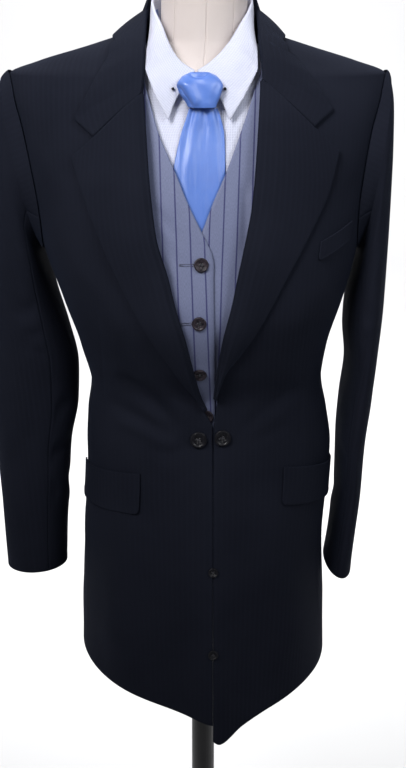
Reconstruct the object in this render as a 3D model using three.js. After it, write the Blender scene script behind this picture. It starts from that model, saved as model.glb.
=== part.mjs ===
// A saddle seat suit on a limbless dress form: a long link-front coat with notched lapels, a striped
// waistcoat, a shirt with a pinned collar and a tie, over a hard torso on a pole and a round base.
// Millimetres. X runs to the wearer's left, the front faces -Y, +Z is up, and the origin is on the
// floor under the middle of the base. "right" and "left" in names are the wearer's.
import * as THREE from "three";

// Driving sizes
const COAT_CLOTH = 2; // worsted, canvas and lining together
const SLEEVE_CLOTH = 1.8;
const VEST_CLOTH = 1.6;
const SHIRT_CLOTH = 1.2;
const TIE_CLOTH = 1.4;
const SEAM_GAP = 0.3; // between neighbouring pieces
const FRONT_EDGE_X = 11.5; // where the two coat fronts meet
const BREAK_Z = 984; // bottom of the lapels' roll
const HEM_Z = 630;
const HEM_BLEND = 130; // height over which an uneven hem fades out
const NECK_Z = 1392; // the coat's neckline
const FORM_BOTTOM_Z = 760;
const FORM_TOP_Z = 1476;
const SIDE_SEAM = { front: 74, back: 106 }; // degrees round the body from the centre front
const ARMHOLE = { middle: 90, reach: 24, z: 1251, rise: 96, full: 0.75 };
const SEAM_DEGREES = 0.12; // a seam's gap, shared by its two sides
const PROW_WIDTH = 22; // how fast the ridge down the closed skirt falls away

// Sections round the body. half is across, front and back are depths from the middle, shift is
// sideways, prow is the ridge at the front edges, and full squares the oval (1 is an ellipse).
const COAT = [
  { z: 600, half: 157, front: 176, back: 196, shift: 0, prow: 33, full: 0.95 },
  { z: 630, half: 156, front: 172, back: 190, shift: 0, prow: 30, full: 0.95 },
  { z: 700, half: 153, front: 162, back: 178, shift: 0, prow: 22, full: 0.95 },
  { z: 780, half: 149.5, front: 150, back: 162, shift: 0, prow: 14, full: 0.95 },
  { z: 860, half: 149, front: 134, back: 142, shift: 5, prow: 6, full: 0.93 },
  { z: 910, half: 149.5, front: 122, back: 125, shift: 7, prow: 2, full: 0.92 },
  { z: 955, half: 145, front: 114, back: 104, shift: 5, prow: 0, full: 0.9 },
  { z: 990, half: 139, front: 113, back: 97, shift: 4, prow: 0, full: 0.88 },
  { z: 1040, half: 147, front: 134, back: 101, shift: 1, prow: 0, full: 0.87 },
  { z: 1100, half: 165, front: 153, back: 112, shift: 0, prow: 0, full: 0.86 },
  { z: 1160, half: 182, front: 150, back: 122, shift: -3, prow: 0, full: 0.86 },
  { z: 1225, half: 194, front: 134, back: 126, shift: -5, prow: 0, full: 0.86 },
  { z: 1290, half: 206, front: 112, back: 117, shift: -6, prow: 0, full: 0.88 },
  { z: 1325, half: 212, front: 93, back: 103, shift: -6, prow: 0, full: 0.92 },
  { z: 1347, half: 210, front: 77, back: 90, shift: -6, prow: 0, full: 0.96 },
  { z: 1360, half: 178, front: 67, back: 80, shift: -6, prow: 0, full: 1 },
  { z: 1375, half: 128, front: 58, back: 74, shift: -5, prow: 0, full: 1 },
  { z: 1392, half: 72, front: 50, back: 68, shift: -4, prow: 0, full: 1 },
];

const FORM = [
  { z: 760, half: 137, front: 110, back: 126, shift: 0, prow: 0, full: 0.94 },
  { z: 800, half: 139, front: 113, back: 129, shift: 0, prow: 0, full: 0.94 },
  { z: 860, half: 137, front: 109, back: 121, shift: 4, prow: 0, full: 0.93 },
  { z: 910, half: 132, front: 98, back: 103, shift: 5, prow: 0, full: 0.92 },
  { z: 955, half: 124, front: 91, back: 85, shift: 4, prow: 0, full: 0.9 },
  { z: 990, half: 120, front: 90, back: 77, shift: 3, prow: 0, full: 0.89 },
  { z: 1040, half: 127, front: 111.5, back: 81, shift: 1, prow: 0, full: 0.88 },
  { z: 1100, half: 144, front: 133, back: 93, shift: 0, prow: 0, full: 0.87 },
  { z: 1160, half: 157, front: 121, back: 103, shift: -2, prow: 0, full: 0.87 },
  { z: 1225, half: 166, front: 107, back: 107, shift: -3, prow: 0, full: 0.88 },
  { z: 1290, half: 173, front: 86, back: 98, shift: -4, prow: 0, full: 0.9 },
  { z: 1320, half: 172, front: 72, back: 85, shift: -4, prow: 0, full: 0.94 },
  { z: 1337, half: 164, front: 62, back: 75, shift: -4, prow: 0, full: 1 },
  { z: 1349, half: 145, front: 55, back: 66, shift: -4, prow: 0, full: 1 },
  { z: 1360, half: 103, front: 48, back: 57, shift: -4, prow: 0, full: 1 },
  { z: 1372, half: 62, front: 44.5, back: 49.5, shift: -1, prow: 0, full: 1 },
  { z: 1386, half: 48.5, front: 42.5, back: 46, shift: 0.5, prow: 0, full: 1 },
  { z: 1430, half: 47.5, front: 42, back: 45, shift: 1.5, prow: 0, full: 1 },
  { z: 1476, half: 47.5, front: 42, back: 45, shift: 1.5, prow: 0, full: 1 },
];

// The roll line that each front is folded back on, seen from the front.
const ROLL = [
  { z: 984, right: 3, left: 12.5 },
  { z: 1000, right: -4, left: 14.5 },
  { z: 1040, right: -13.5, left: 18.5 },
  { z: 1080, right: -22, left: 24.5 },
  { z: 1115, right: -32, left: 33 },
  { z: 1150, right: -40.5, left: 40 },
  { z: 1185, right: -51, left: 47.5 },
  { z: 1215, right: -55.7, left: 53.5 },
  { z: 1250, right: -59.4, left: 57.5 },
  { z: 1300, right: -63, left: 61 },
  { z: 1340, right: -66, left: 63.5 },
  { z: 1366, right: -67.5, left: 64.5 },
  { z: 1392, right: -72, left: 66 },
];

// How far the hem hangs below its level, by degrees round from the centre front. The wearer's left
// front dips to a point beside its edge, and the right side rides up.
const HEM_LINE = {
  right: [
    { at: 0, drop: 0 },
    { at: 30, drop: -6 },
    { at: 70, drop: -12 },
    { at: 95, drop: -10 },
    { at: 140, drop: 0 },
    { at: 180, drop: 0 },
  ],
  left: [
    { at: 3, drop: 18 },
    { at: 7, drop: 25 },
    { at: 16, drop: 16 },
    { at: 32, drop: 7 },
    { at: 60, drop: 0 },
    { at: 180, drop: 0 },
  ],
};

// Rows across each lapel, from the break up to its top edge: a place on the roll line, and the place
// on the outer edge that it runs to.
const LAPELS = {
  right: [
    { roll_x: 2.5, roll_z: 985, edge_x: -3, edge_z: 999 },
    { roll_x: -5, roll_z: 1004, edge_x: -17, edge_z: 1015 },
    { roll_x: -14, roll_z: 1041, edge_x: -35, edge_z: 1044 },
    { roll_x: -24, roll_z: 1086, edge_x: -57, edge_z: 1081 },
    { roll_x: -38, roll_z: 1142, edge_x: -83, edge_z: 1130 },
    { roll_x: -53, roll_z: 1196, edge_x: -106, edge_z: 1178 },
    { roll_x: -60, roll_z: 1262, edge_x: -125, edge_z: 1225 },
    { roll_x: -65.5, roll_z: 1331.5, edge_x: -139, edge_z: 1267 },
  ],
  left: [
    { roll_x: 14.5, roll_z: 1000, edge_x: 18, edge_z: 1018 },
    { roll_x: 17, roll_z: 1024, edge_x: 25, edge_z: 1038 },
    { roll_x: 21, roll_z: 1055, edge_x: 41, edge_z: 1062 },
    { roll_x: 29, roll_z: 1097, edge_x: 66, edge_z: 1103 },
    { roll_x: 41, roll_z: 1153, edge_x: 90, edge_z: 1148 },
    { roll_x: 54, roll_z: 1218, edge_x: 115, edge_z: 1193 },
    { roll_x: 59.5, roll_z: 1275, edge_x: 134, edge_z: 1232 },
    { roll_x: 63.5, roll_z: 1344, edge_x: 145, edge_z: 1272.5 },
  ],
};

// Half of the coat's collar, from the gorge round to the centre back: a place on its top fold, and
// the height and the degrees round the coat of its outer edge, which turns a corner at the second row.
// right_ and left_ columns move the roll's y and z and the edge's z on that side only.
const COLLAR = [
  {
    shift: 1, roll_x: 67, roll_y: -84, roll_z: 1343, edge_x: 116, edge_z: 1296,
    right_y: -6, right_roll: -10, right_edge: -7.5, left_y: 3.5, left_roll: 5.5, left_edge: 2.5,
  },
  {
    shift: 1, roll_x: 66, roll_y: -77, roll_z: 1354, edge_x: 137, edge_z: 1313,
    right_y: -4, right_roll: -7, right_edge: -8, left_y: 1.5, left_roll: 2, left_edge: 1,
  },
  {
    shift: 0, roll_x: 64.5, roll_y: -66, roll_z: 1370, edge_x: 117, edge_z: 1347,
    right_y: -1, right_roll: -2, right_edge: -3,
  },
  { shift: -1, roll_x: 63.5, roll_y: -50, roll_z: 1386, edge_x: 104, edge_z: 1366 },
  { shift: -1, roll_x: 63.5, roll_y: -30, roll_z: 1399, edge_at: 56, edge_z: 1379 },
  { shift: -1, roll_x: 63.5, roll_y: -3, roll_z: 1411, edge_at: 92, edge_z: 1385 },
  { shift: -1, roll_x: 58, roll_y: 33, roll_z: 1418, edge_at: 128, edge_z: 1376 },
  { shift: -1, roll_x: 33.5, roll_y: 60.5, roll_z: 1421, edge_at: 155, edge_z: 1372 },
  { shift: -1, roll_x: 0, roll_y: 69.5, roll_z: 1422, edge_at: 180, edge_z: 1370 },
];

// Rings down each sleeve below the armhole: places nearest to and furthest from the body as seen
// from the front, how far the ring reaches to front and back, and the middle of its depth.
const SLEEVES = {
  right: [
    { in_x: -187, in_z: 1151, out_x: -226, out_z: 1342, reach: 60, mid_y: 0 },
    { in_x: -188, in_z: 1142, out_x: -235, out_z: 1320, reach: 61, mid_y: 1 },
    { in_x: -184, in_z: 1128, out_x: -243, out_z: 1288, reach: 62, mid_y: 2 },
    { in_x: -178, in_z: 1112, out_x: -249, out_z: 1240, reach: 62, mid_y: 3 },
    { in_x: -171, in_z: 1088, out_x: -253, out_z: 1176, reach: 60, mid_y: 4 },
    { in_x: -160, in_z: 1052, out_x: -257, out_z: 1098, reach: 56, mid_y: 4 },
    { in_x: -151, in_z: 1006, out_x: -258, out_z: 1022, reach: 51, mid_y: 4 },
    { in_x: -153, in_z: 958, out_x: -257, out_z: 962, reach: 47, mid_y: 4 },
    { in_x: -163, in_z: 905, out_x: -255.5, out_z: 905, reach: 44, mid_y: 6 },
    { in_x: -168, in_z: 848, out_x: -254, out_z: 848, reach: 41, mid_y: 8 },
    { in_x: -173, in_z: 790, out_x: -253, out_z: 790, reach: 39, mid_y: 10 },
    { in_x: -175.6, in_z: 735, out_x: -252, out_z: 732, reach: 37, mid_y: 12 },
  ],
  left: [
    { in_x: 181, in_z: 1151, out_x: 209.5, out_z: 1342, reach: 60, mid_y: 0 },
    { in_x: 182, in_z: 1142, out_x: 213.5, out_z: 1321, reach: 62, mid_y: 1 },
    { in_x: 179, in_z: 1128, out_x: 215, out_z: 1288, reach: 65, mid_y: 3 },
    { in_x: 175, in_z: 1112, out_x: 215.5, out_z: 1242, reach: 68, mid_y: 5 },
    { in_x: 171, in_z: 1088, out_x: 216, out_z: 1176, reach: 70, mid_y: 7 },
    { in_x: 169, in_z: 1052, out_x: 214.5, out_z: 1090, reach: 70, mid_y: 8 },
    { in_x: 173, in_z: 1006, out_x: 210, out_z: 1020, reach: 67, mid_y: 9 },
    { in_x: 168.5, in_z: 958, out_x: 205.5, out_z: 962, reach: 64, mid_y: 9 },
    { in_x: 166, in_z: 905, out_x: 200.5, out_z: 905, reach: 62, mid_y: 9 },
    { in_x: 166.5, in_z: 848, out_x: 198, out_z: 848, reach: 60, mid_y: 10 },
    { in_x: 162.5, in_z: 790, out_x: 193.5, out_z: 790, reach: 57, mid_y: 11 },
    { in_x: 156, in_z: 737, out_x: 190, out_z: 733, reach: 55, mid_y: 12 },
  ],
};
const SLEEVE_SEAMS = { front: 118, back: -98 }; // degrees round a ring from its outermost place

// The neckline of each waistcoat front, seen from the front, with the cloth edge below it.
const VEST_EDGE = [
  { z: 880, right: 14, left: -12 },
  { z: 1040, right: 12.5, left: -11 },
  { z: 1140, right: 11, left: -11 },
  { z: 1155, right: 11.2, left: -10.5 },
  { z: 1166, right: 9.5, left: -9.5 },
  { z: 1178, right: 4.5, left: -6 },
  { z: 1190, right: -1.5, left: -1.2 },
  { z: 1220, right: -16.2, left: 10.5 },
  { z: 1250, right: -28.8, left: 24 },
  { z: 1288, right: -46, left: 38.7 },
  { z: 1323, right: -57, left: 51.6 },
  { z: 1351, right: -65.5, left: 61.5 },
  { z: 1381, right: -73, left: 70 },
];
const VEST_BUTTONS = [
  { x: -1.8, z: 1155.5, out: 0.5 },
  { x: -4, z: 1098, out: -0.6 },
  { x: -3.5, z: 1038, out: -0.4 },
  { x: 4, z: 975, out: 0.5 },
  { x: 4, z: 913, out: 0.5 },
];

// Half of the shirt's collar from the centre front to the centre back: its fold, the outer edge of
// the leaf, and the bottom of the band inside. The leaf's point is at the second row.
const SHIRT_COLLAR = [
  {
    shift: -7.2, fold_x: 1.3, fold_y: -71, fold_z: 1355,
    leaf_shift: -4.5, leaf_x: 25.5, leaf_y: -83, leaf_z: 1324, band_z: 1342,
  },
  {
    shift: -7.5, fold_x: 13.5, fold_y: -69, fold_z: 1362,
    leaf_shift: -4.1, leaf_x: 32.6, leaf_y: -92, leaf_z: 1305, band_z: 1345,
  },
  {
    shift: -6.5, fold_x: 23.5, fold_y: -63.5, fold_z: 1371,
    leaf_shift: -3.2, leaf_x: 47.8, leaf_y: -85, leaf_z: 1331, band_z: 1352,
  },
  {
    shift: -4.5, fold_x: 33.5, fold_y: -55, fold_z: 1384,
    leaf_shift: -1.5, leaf_x: 60, leaf_y: -71, leaf_z: 1356, band_z: 1364,
  },
  {
    shift: -2.5, fold_x: 43.5, fold_y: -41, fold_z: 1401,
    leaf_shift: -1, leaf_x: 59.5, leaf_y: -52, leaf_z: 1376, band_z: 1380,
  },
  {
    shift: -1.5, fold_x: 52.5, fold_y: -22, fold_z: 1415,
    leaf_shift: -1.2, leaf_x: 57.2, leaf_y: -26, leaf_z: 1392, band_z: 1392,
  },
  {
    shift: -1, fold_x: 56, fold_y: 3, fold_z: 1424,
    leaf_shift: -1, leaf_x: 56.3, leaf_y: 4, leaf_z: 1398, band_z: 1396,
  },
  {
    shift: -1, fold_x: 47.5, fold_y: 31, fold_z: 1429,
    leaf_shift: -1, leaf_x: 49, leaf_y: 34, leaf_z: 1401, band_z: 1398,
  },
  {
    shift: -1, fold_x: 25, fold_y: 50, fold_z: 1432,
    leaf_shift: -1, leaf_x: 27, leaf_y: 54, leaf_z: 1401, band_z: 1398,
  },
  {
    shift: -1, fold_x: 0, fold_y: 56, fold_z: 1433,
    leaf_shift: -1, leaf_x: 0, leaf_y: 60, leaf_z: 1401, band_z: 1398,
  },
];

const cloth = (color, roughness) => new THREE.MeshStandardMaterial({ color, roughness, metalness: 0 });
const MATERIALS = {
  coat: cloth("#15171e", 0.85),
  vest: cloth("#8d91a6", 0.8),
  shirt: cloth("#eef0f8", 0.8),
  tie: cloth("#5f8fe2", 0.4),
  form: cloth("#d9cec3", 0.9),
  button: cloth("#241f24", 0.3),
  metal: new THREE.MeshStandardMaterial({ color: "#1c1c20", roughness: 0.4, metalness: 0.7 }),
};

const suit = new THREE.Group();
const radians = THREE.MathUtils.degToRad;
const vec = (x, y, z) => new THREE.Vector3(x, y, z);

function add(name, geometry, material) {
  const mesh = new THREE.Mesh(geometry, material);
  mesh.name = name;
  suit.add(mesh);
  return mesh;
}

// The value of a table's column at a height, or another key, by a curve that never overshoots its rows.
function smooth(table, column, z, key = "z") {
  const last = table.length - 1;
  const slope = (j) => {
    const step = (i) => (table[i + 1][column] - table[i][column]) / (table[i + 1][key] - table[i][key]);
    if (j === 0) return step(0);
    if (j === last) return step(last - 1);
    const [before, after] = [step(j - 1), step(j)];
    return before * after <= 0 ? 0 : (2 * before * after) / (before + after);
  };
  if (z <= table[0][key]) return table[0][column] + slope(0) * (z - table[0][key]);
  if (z >= table[last][key]) return table[last][column] + slope(last) * (z - table[last][key]);
  let k = 0;
  while (table[k + 1][key] < z) k += 1;
  const [low, high] = [table[k], table[k + 1]];
  const height = high[key] - low[key];
  const t = (z - low[key]) / height;
  const rise = t * t * (3 - 2 * t);
  const startPull = t * (1 - t) * (1 - t) * height;
  const endPull = t * t * (t - 1) * height;
  return low[column] * (1 - rise) + high[column] * rise + slope(k) * startPull + slope(k + 1) * endPull;
}

const power = (v, e) => Math.sign(v) * Math.abs(v) ** e;

// A point of a body surface: degrees round it from the centre front, to the wearer's left.
function skin(table, degrees, z) {
  const get = (column) => smooth(table, column, z);
  const [side, ahead] = [Math.sin(radians(degrees)), Math.cos(radians(degrees))];
  const x = get("shift") + get("half") * power(side, get("full"));
  let y = -(ahead > 0 ? get("front") : get("back")) * power(ahead, get("full"));
  if (ahead > 0) y -= (get("prow") / Math.cosh((x - FRONT_EDGE_X) / PROW_WIDTH)) * Math.min(1, 2 * ahead);
  return vec(x, y, z);
}

// The same point moved out along the surface's own normal.
function over(table, degrees, z, out) {
  const turn = 0.4;
  const lift = 1.5;
  const across = skin(table, degrees + turn, z).sub(skin(table, degrees - turn, z));
  const upward = skin(table, degrees, z + lift).sub(skin(table, degrees, z - lift));
  return skin(table, degrees, z).addScaledVector(across.cross(upward).normalize(), out);
}

// Degrees round the front of a body at which it is x across.
function degreesAt(table, x, z) {
  const share = (x - smooth(table, "shift", z)) / smooth(table, "half", z);
  const side = power(Math.max(-1, Math.min(1, share)), 1 / smooth(table, "full", z));
  return THREE.MathUtils.radToDeg(Math.asin(side));
}

// A closed solid between two grids of points, row by row.
function between(outer, inner) {
  const [rows, columns] = [outer.length, outer[0].length];
  const points = [...outer.flat(), ...inner.flat()];
  const at = (layer, i, j) => (layer * rows + i) * columns + j;
  const index = [];
  const quad = (a, b, c, d) => index.push(a, b, c, a, c, d);
  for (let i = 0; i + 1 < rows; i += 1) {
    for (let j = 0; j + 1 < columns; j += 1) {
      quad(at(0, i, j), at(0, i, j + 1), at(0, i + 1, j + 1), at(0, i + 1, j));
      quad(at(1, i, j), at(1, i + 1, j), at(1, i + 1, j + 1), at(1, i, j + 1));
    }
    quad(at(0, i, 0), at(0, i + 1, 0), at(1, i + 1, 0), at(1, i, 0));
    quad(at(0, i + 1, columns - 1), at(0, i, columns - 1), at(1, i, columns - 1), at(1, i + 1, columns - 1));
  }
  for (let j = 0; j + 1 < columns; j += 1) {
    quad(at(0, 0, j + 1), at(0, 0, j), at(1, 0, j), at(1, 0, j + 1));
    quad(at(0, rows - 1, j), at(0, rows - 1, j + 1), at(1, rows - 1, j + 1), at(1, rows - 1, j));
  }
  return facingOut(points, index);
}

// A geometry from points and triangles, turned so that its volume is positive.
function facingOut(points, index) {
  let volume = 0;
  for (let i = 0; i < index.length; i += 3) {
    const [a, b, c] = [points[index[i]], points[index[i + 1]], points[index[i + 2]]];
    volume += a.dot(b.clone().cross(c));
  }
  if (volume < 0) {
    for (let i = 0; i < index.length; i += 3) [index[i + 1], index[i + 2]] = [index[i + 2], index[i + 1]];
  }
  const geometry = new THREE.BufferGeometry().setFromPoints(points);
  geometry.setIndex(index);
  geometry.computeVertexNormals();
  return geometry;
}

// Cloth from a grid of places, each a function of how far out from the surface it is asked for.
function wall(places, thickness) {
  const layer = (out) => places.map((row) => row.map((place) => place(out)));
  return between(layer(0), layer(-thickness));
}

// A grid of points as places for wall: each moves along the normal that its neighbours give, on the
// side that is away from the middle axis through (0, 0).
function places(points) {
  const [rows, columns] = [points.length, points[0].length];
  const normals = points.map((row, i) =>
    row.map((p, j) => {
      const along = points[Math.min(i + 1, rows - 1)][j].clone().sub(points[Math.max(i - 1, 0)][j]);
      const across = row[Math.min(j + 1, columns - 1)].clone().sub(row[Math.max(j - 1, 0)]);
      return along.cross(across).normalize();
    }),
  );
  let outward = 0;
  points.forEach((row, i) =>
    row.forEach((p, j) => (outward += normals[i][j].dot(vec(p.x, p.y, 30).normalize()))),
  );
  return points.map((row, i) =>
    row.map((p, j) => (out) => p.clone().addScaledVector(normals[i][j], out * Math.sign(outward))),
  );
}

const mix = (a, b, t) => a + (b - a) * t;
const steps = (n) => Array.from({ length: n + 1 }, (_, i) => i / n);

// Half the angle that the armhole cuts out at a height, and the height of its bottom at an angle.
function armholeReach(z) {
  const share = Math.min(1, Math.abs(z - ARMHOLE.z) / ARMHOLE.rise) ** (1 / ARMHOLE.full);
  return ARMHOLE.reach * Math.sqrt(1 - share * share) ** ARMHOLE.full;
}
function armholeBottom(degrees) {
  const share = Math.min(1, Math.abs(degrees - ARMHOLE.middle) / ARMHOLE.reach) ** (1 / ARMHOLE.full);
  return ARMHOLE.z - ARMHOLE.rise * Math.sqrt(1 - share * share) ** ARMHOLE.full;
}

// Heights of the rows down the body: those below the side panels' corners are shared by all panels.
const seamTop = ARMHOLE.z - ARMHOLE.rise * Math.sqrt(
  1 - ((ARMHOLE.middle - SIDE_SEAM.front) / ARMHOLE.reach) ** (2 / ARMHOLE.full)) ** ARMHOLE.full;
const SEAM_SHARES = [0, 0.11, 0.22, 0.33, 0.43, 0.51, 0.585, 0.66, 0.735, 0.815, 0.9, 1];
const BODY_ROWS = [
  ...SEAM_SHARES.map((share) => mix(HEM_Z, seamTop, share)),
  1205, 1251, 1290, 1320, 1337, 1347, 1357, 1368, 1380, NECK_Z,
];
const atSeam = (z) => z <= seamTop + 1e-6;

// A point of the coat, with the hem's unevenness fading out above it.
function coatPoint(wearer, degrees, z, out) {
  const fade = Math.max(0, 1 - (z - HEM_Z) / HEM_BLEND);
  const drop = smooth(HEM_LINE[wearer], "drop", degrees, "at") * fade;
  return over(COAT, wearer === "left" ? degrees : -degrees, z - drop, out);
}

const FRONT_COLUMNS = [0, 0.05, 0.17, 0.33, 0.5, 0.67, 0.84, 1];

// Coat fronts: from the front edge or the roll line to the seam under the arm and the shoulder.
function coatFront(wearer) {
  const sign = wearer === "left" ? 1 : -1;
  const recess = 2; // the lapel's fold covers the edge
  const closed = FRONT_EDGE_X + sign * (SEAM_GAP / 2);
  const edge = (z) => {
    const fold = smooth(ROLL, wearer, Math.max(z, BREAK_Z)) + sign * recess;
    return mix(closed, fold, THREE.MathUtils.clamp((z - BREAK_Z + 22) / 22, 0, 1));
  };
  const rows = BODY_ROWS.map((z) => {
    const inner = degreesAt(COAT, edge(z), z) * sign;
    const outer = (atSeam(z) ? SIDE_SEAM.front : ARMHOLE.middle - armholeReach(z)) - SEAM_DEGREES;
    return FRONT_COLUMNS.map((t) => (out) => coatPoint(wearer, mix(inner, outer, t), z, out));
  });
  add(`coat_front_${wearer}`, wall(rows, COAT_CLOTH), MATERIALS.coat);
}

// Coat side panels: under the arm, with the bottom of the armhole as their top edge.
function coatSide(wearer) {
  const rows = SEAM_SHARES.map((share) =>
    [0, 0.15, 0.38, 0.62, 0.85, 1].map((t) => (out) => {
      const degrees = mix(SIDE_SEAM.front, SIDE_SEAM.back, t);
      const z = mix(HEM_Z, armholeBottom(degrees), share);
      const inside = mix(SIDE_SEAM.front + SEAM_DEGREES, SIDE_SEAM.back - SEAM_DEGREES, t);
      return coatPoint(wearer, inside, z, out);
    }),
  );
  add(`coat_side_${wearer}`, wall(rows, COAT_CLOTH), MATERIALS.coat);
}

// Coat backs: from the seam under the arm to the centre back seam.
function coatBack(wearer) {
  const rows = BODY_ROWS.map((z) => {
    const outer = (atSeam(z) ? SIDE_SEAM.back : ARMHOLE.middle + armholeReach(z)) + SEAM_DEGREES;
    const middle = 180 - degreesAt(COAT, smooth(COAT, "shift", z) + SEAM_GAP / 2, z);
    return steps(6).map((t) => (out) => coatPoint(wearer, mix(outer, middle, t), z, out));
  });
  add(`coat_back_${wearer}`, wall(rows, COAT_CLOTH), MATERIALS.coat);
}

// Lapels: the top of each front folded back on the roll line, lying on the front's own points.
function lapel(wearer) {
  const sign = wearer === "left" ? 1 : -1;
  const across = [
    { t: 0, lift: 4.2 },
    { t: 0.06, lift: 6.4 },
    { t: 0.2, lift: 7 },
    { t: 0.45, lift: 5.7 },
    { t: 0.72, lift: 4.7 },
    { t: 1, lift: 4 },
  ];
  const rows = LAPELS[wearer].map((row) =>
    across.map(({ t, lift }) => (out) => {
      const x = mix(row.roll_x - sign * 1, row.edge_x, t);
      const z = mix(row.roll_z, row.edge_z, t);
      return over(COAT, degreesAt(COAT, x, z), z, lift + out);
    }),
  );
  add(`lapel_${wearer}`, wall(rows, COAT_CLOTH), MATERIALS.coat);
}

// Both halves of a collar's table as one run of rows from the wearer's right to the left.
function bothSides(table, place) {
  const left = table.map((row) => place(row, 1));
  const right = table.slice(0, -1).map((row) => place(row, -1));
  return [...right, ...left.reverse()];
}

// The coat's collar: the fall over the shoulders, and the stand inside it round the back of the neck.
function coatCollar() {
  const [bulge, lie] = [6, 4.4];
  const fall = bothSides(COLLAR, (row, sign) => {
    const own = (name) => row[`${sign < 0 ? "right" : "left"}_${name}`] || 0;
    const edgeZ = row.edge_z + own("edge");
    const degrees = row.edge_at ? row.edge_at * sign : degreesAt(COAT, row.edge_x * sign + row.shift, edgeZ);
    const roll = vec(row.roll_x * sign + row.shift, row.roll_y + own("y"), row.roll_z + own("roll"));
    const edge = over(COAT, degrees, edgeZ, lie);
    const away = over(COAT, degrees, edgeZ, lie + 1).sub(edge);
    return [0, 0.12, 0.38, 0.7, 1].map((t) =>
      roll.clone().lerp(edge, t).addScaledVector(away, bulge * t * (1 - t)),
    );
  });
  add("coat_collar_fall", wall(places(fall), COAT_CLOTH), MATERIALS.coat);
  const [inset, below] = [3.4, 3.5]; // the stand's top inside the fold
  const stand = bothSides(COLLAR.slice(4), (row, sign) => {
    const share = 1 - inset / Math.hypot(row.roll_x, row.roll_y);
    const top = vec(row.roll_x * share * sign + row.shift, row.roll_y * share, row.roll_z - below);
    const round = THREE.MathUtils.radToDeg(Math.atan2(row.roll_x, -row.roll_y)) * sign;
    const foot = over(COAT, round, NECK_Z, -1).setZ(NECK_Z + 0.6);
    return [0, 0.5, 1].map((t) => top.clone().lerp(foot, t));
  });
  add("coat_collar_stand", wall(places(stand), 1.2), MATERIALS.coat);
}

// Sleeves: rings from the armhole to the cuff, each in an outer and an under piece.
function sleeve(wearer) {
  const sign = wearer === "left" ? 1 : -1;
  const circle = (degrees) => [Math.cos(radians(degrees)), Math.sin(radians(degrees))];
  const ring = (row) => (degrees) => {
    const [c, s] = circle(degrees);
    const [x, z] = [(row.in_x + row.out_x) / 2, (row.in_z + row.out_z) / 2];
    const [wide, tall] = [(row.out_x - row.in_x) / 2, (row.out_z - row.in_z) / 2];
    return vec(x + wide * c, row.mid_y - row.reach * s, z + tall * c);
  };
  const head = (degrees) => {
    const [c, s] = circle(degrees);
    const [lap, clear] = [1.03, 2.3]; // the sleeve's end stands round the armhole's edge
    const angle = ARMHOLE.middle - ARMHOLE.reach * lap * power(s, ARMHOLE.full);
    const z = ARMHOLE.z + ARMHOLE.rise * lap * power(c, ARMHOLE.full);
    const top = Math.min(z, ARMHOLE.z + ARMHOLE.rise);
    return over(COAT, angle * sign, top, clear).add(vec(sign * (z - top) * 0.3, 0, z - top));
  };
  const rings = [head, ...SLEEVES[wearer].map(ring)];
  const place = (i, degrees) => (out) => {
    const across = rings[i](degrees + 1).sub(rings[i](degrees - 1));
    const along = rings[Math.min(i + 1, rings.length - 1)](degrees).sub(rings[Math.max(i - 1, 0)](degrees));
    return rings[i](degrees).addScaledVector(along.cross(across).normalize(), -sign * out);
  };
  const pieces = [
    { name: "top", from: SLEEVE_SEAMS.back, to: SLEEVE_SEAMS.front, columns: 10 },
    { name: "under", from: SLEEVE_SEAMS.front, to: SLEEVE_SEAMS.back + 360, columns: 7 },
  ];
  for (const piece of pieces) {
    const gap = 0.8; // degrees
    const rows = rings.map((_, i) =>
      steps(piece.columns).map((t) => place(i, mix(piece.from + gap, piece.to - gap, t))),
    );
    add(`sleeve_${piece.name}_${wearer}`, wall(rows, SLEEVE_CLOTH), MATERIALS.coat);
  }
}

// A patch that lies on the coat: its corners are degrees round the body and heights.
function patch(name, table, from, to, top, bottom, lift, thickness, columns, material) {
  const rows = steps(3).map((v) =>
    steps(columns).map((t) => (out) =>
      over(table, mix(from, to, t), mix(top(t), bottom(t), v), lift(t, v) + out),
    ),
  );
  add(name, wall(rows, thickness), material);
}

function pockets() {
  const lay = COAT_CLOTH + 0.5;
  const flaps = [
    { wearer: "right", from: -30, to: -84, top: 906, slope: -17, height: 47 },
    { wearer: "left", from: 33, to: 93, top: 913, slope: -27, height: 45 },
  ];
  for (const flap of flaps) {
    patch(
      `pocket_flap_${flap.wearer}`, COAT, flap.from, flap.to,
      (t) => flap.top + flap.slope * t,
      (t) => flap.top + flap.slope * t - flap.height,
      (t, v) => lay + 0.9 * v,
      COAT_CLOTH, 8, MATERIALS.coat,
    );
  }
  const welt = { from: 41, to: 60, bottom: 1158, slope: 16, height: 22 };
  patch(
    "breast_welt_left", COAT, welt.from, welt.to,
    (t) => welt.bottom + welt.height + welt.slope * t,
    (t) => welt.bottom + welt.slope * t,
    () => lay, COAT_CLOTH, 4, MATERIALS.coat,
  );
}

// A round button with a rim, lying on a surface point with its face along the normal.
function button(name, radius, thickness, foot, normal) {
  const profile = [
    [0, 0], [radius * 0.9, 0], [radius, thickness * 0.35], [radius, thickness * 0.8],
    [radius * 0.88, thickness], [radius * 0.66, thickness * 0.62], [0, thickness * 0.6],
  ].map(([r, h]) => new THREE.Vector2(r, h));
  const mesh = add(name, new THREE.LatheGeometry(profile, 14), MATERIALS.button);
  mesh.quaternion.setFromUnitVectors(vec(0, 1, 0), normal);
  mesh.position.copy(foot);
}

// Where a button sits: on a surface, seen from the front at x and z.
function seat(table, x, z, out) {
  const degrees = degreesAt(table, x, z);
  const foot = over(table, degrees, z, out);
  const normal = over(table, degrees, z, out + 1).sub(foot).normalize();
  return [foot, normal];
}

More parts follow.
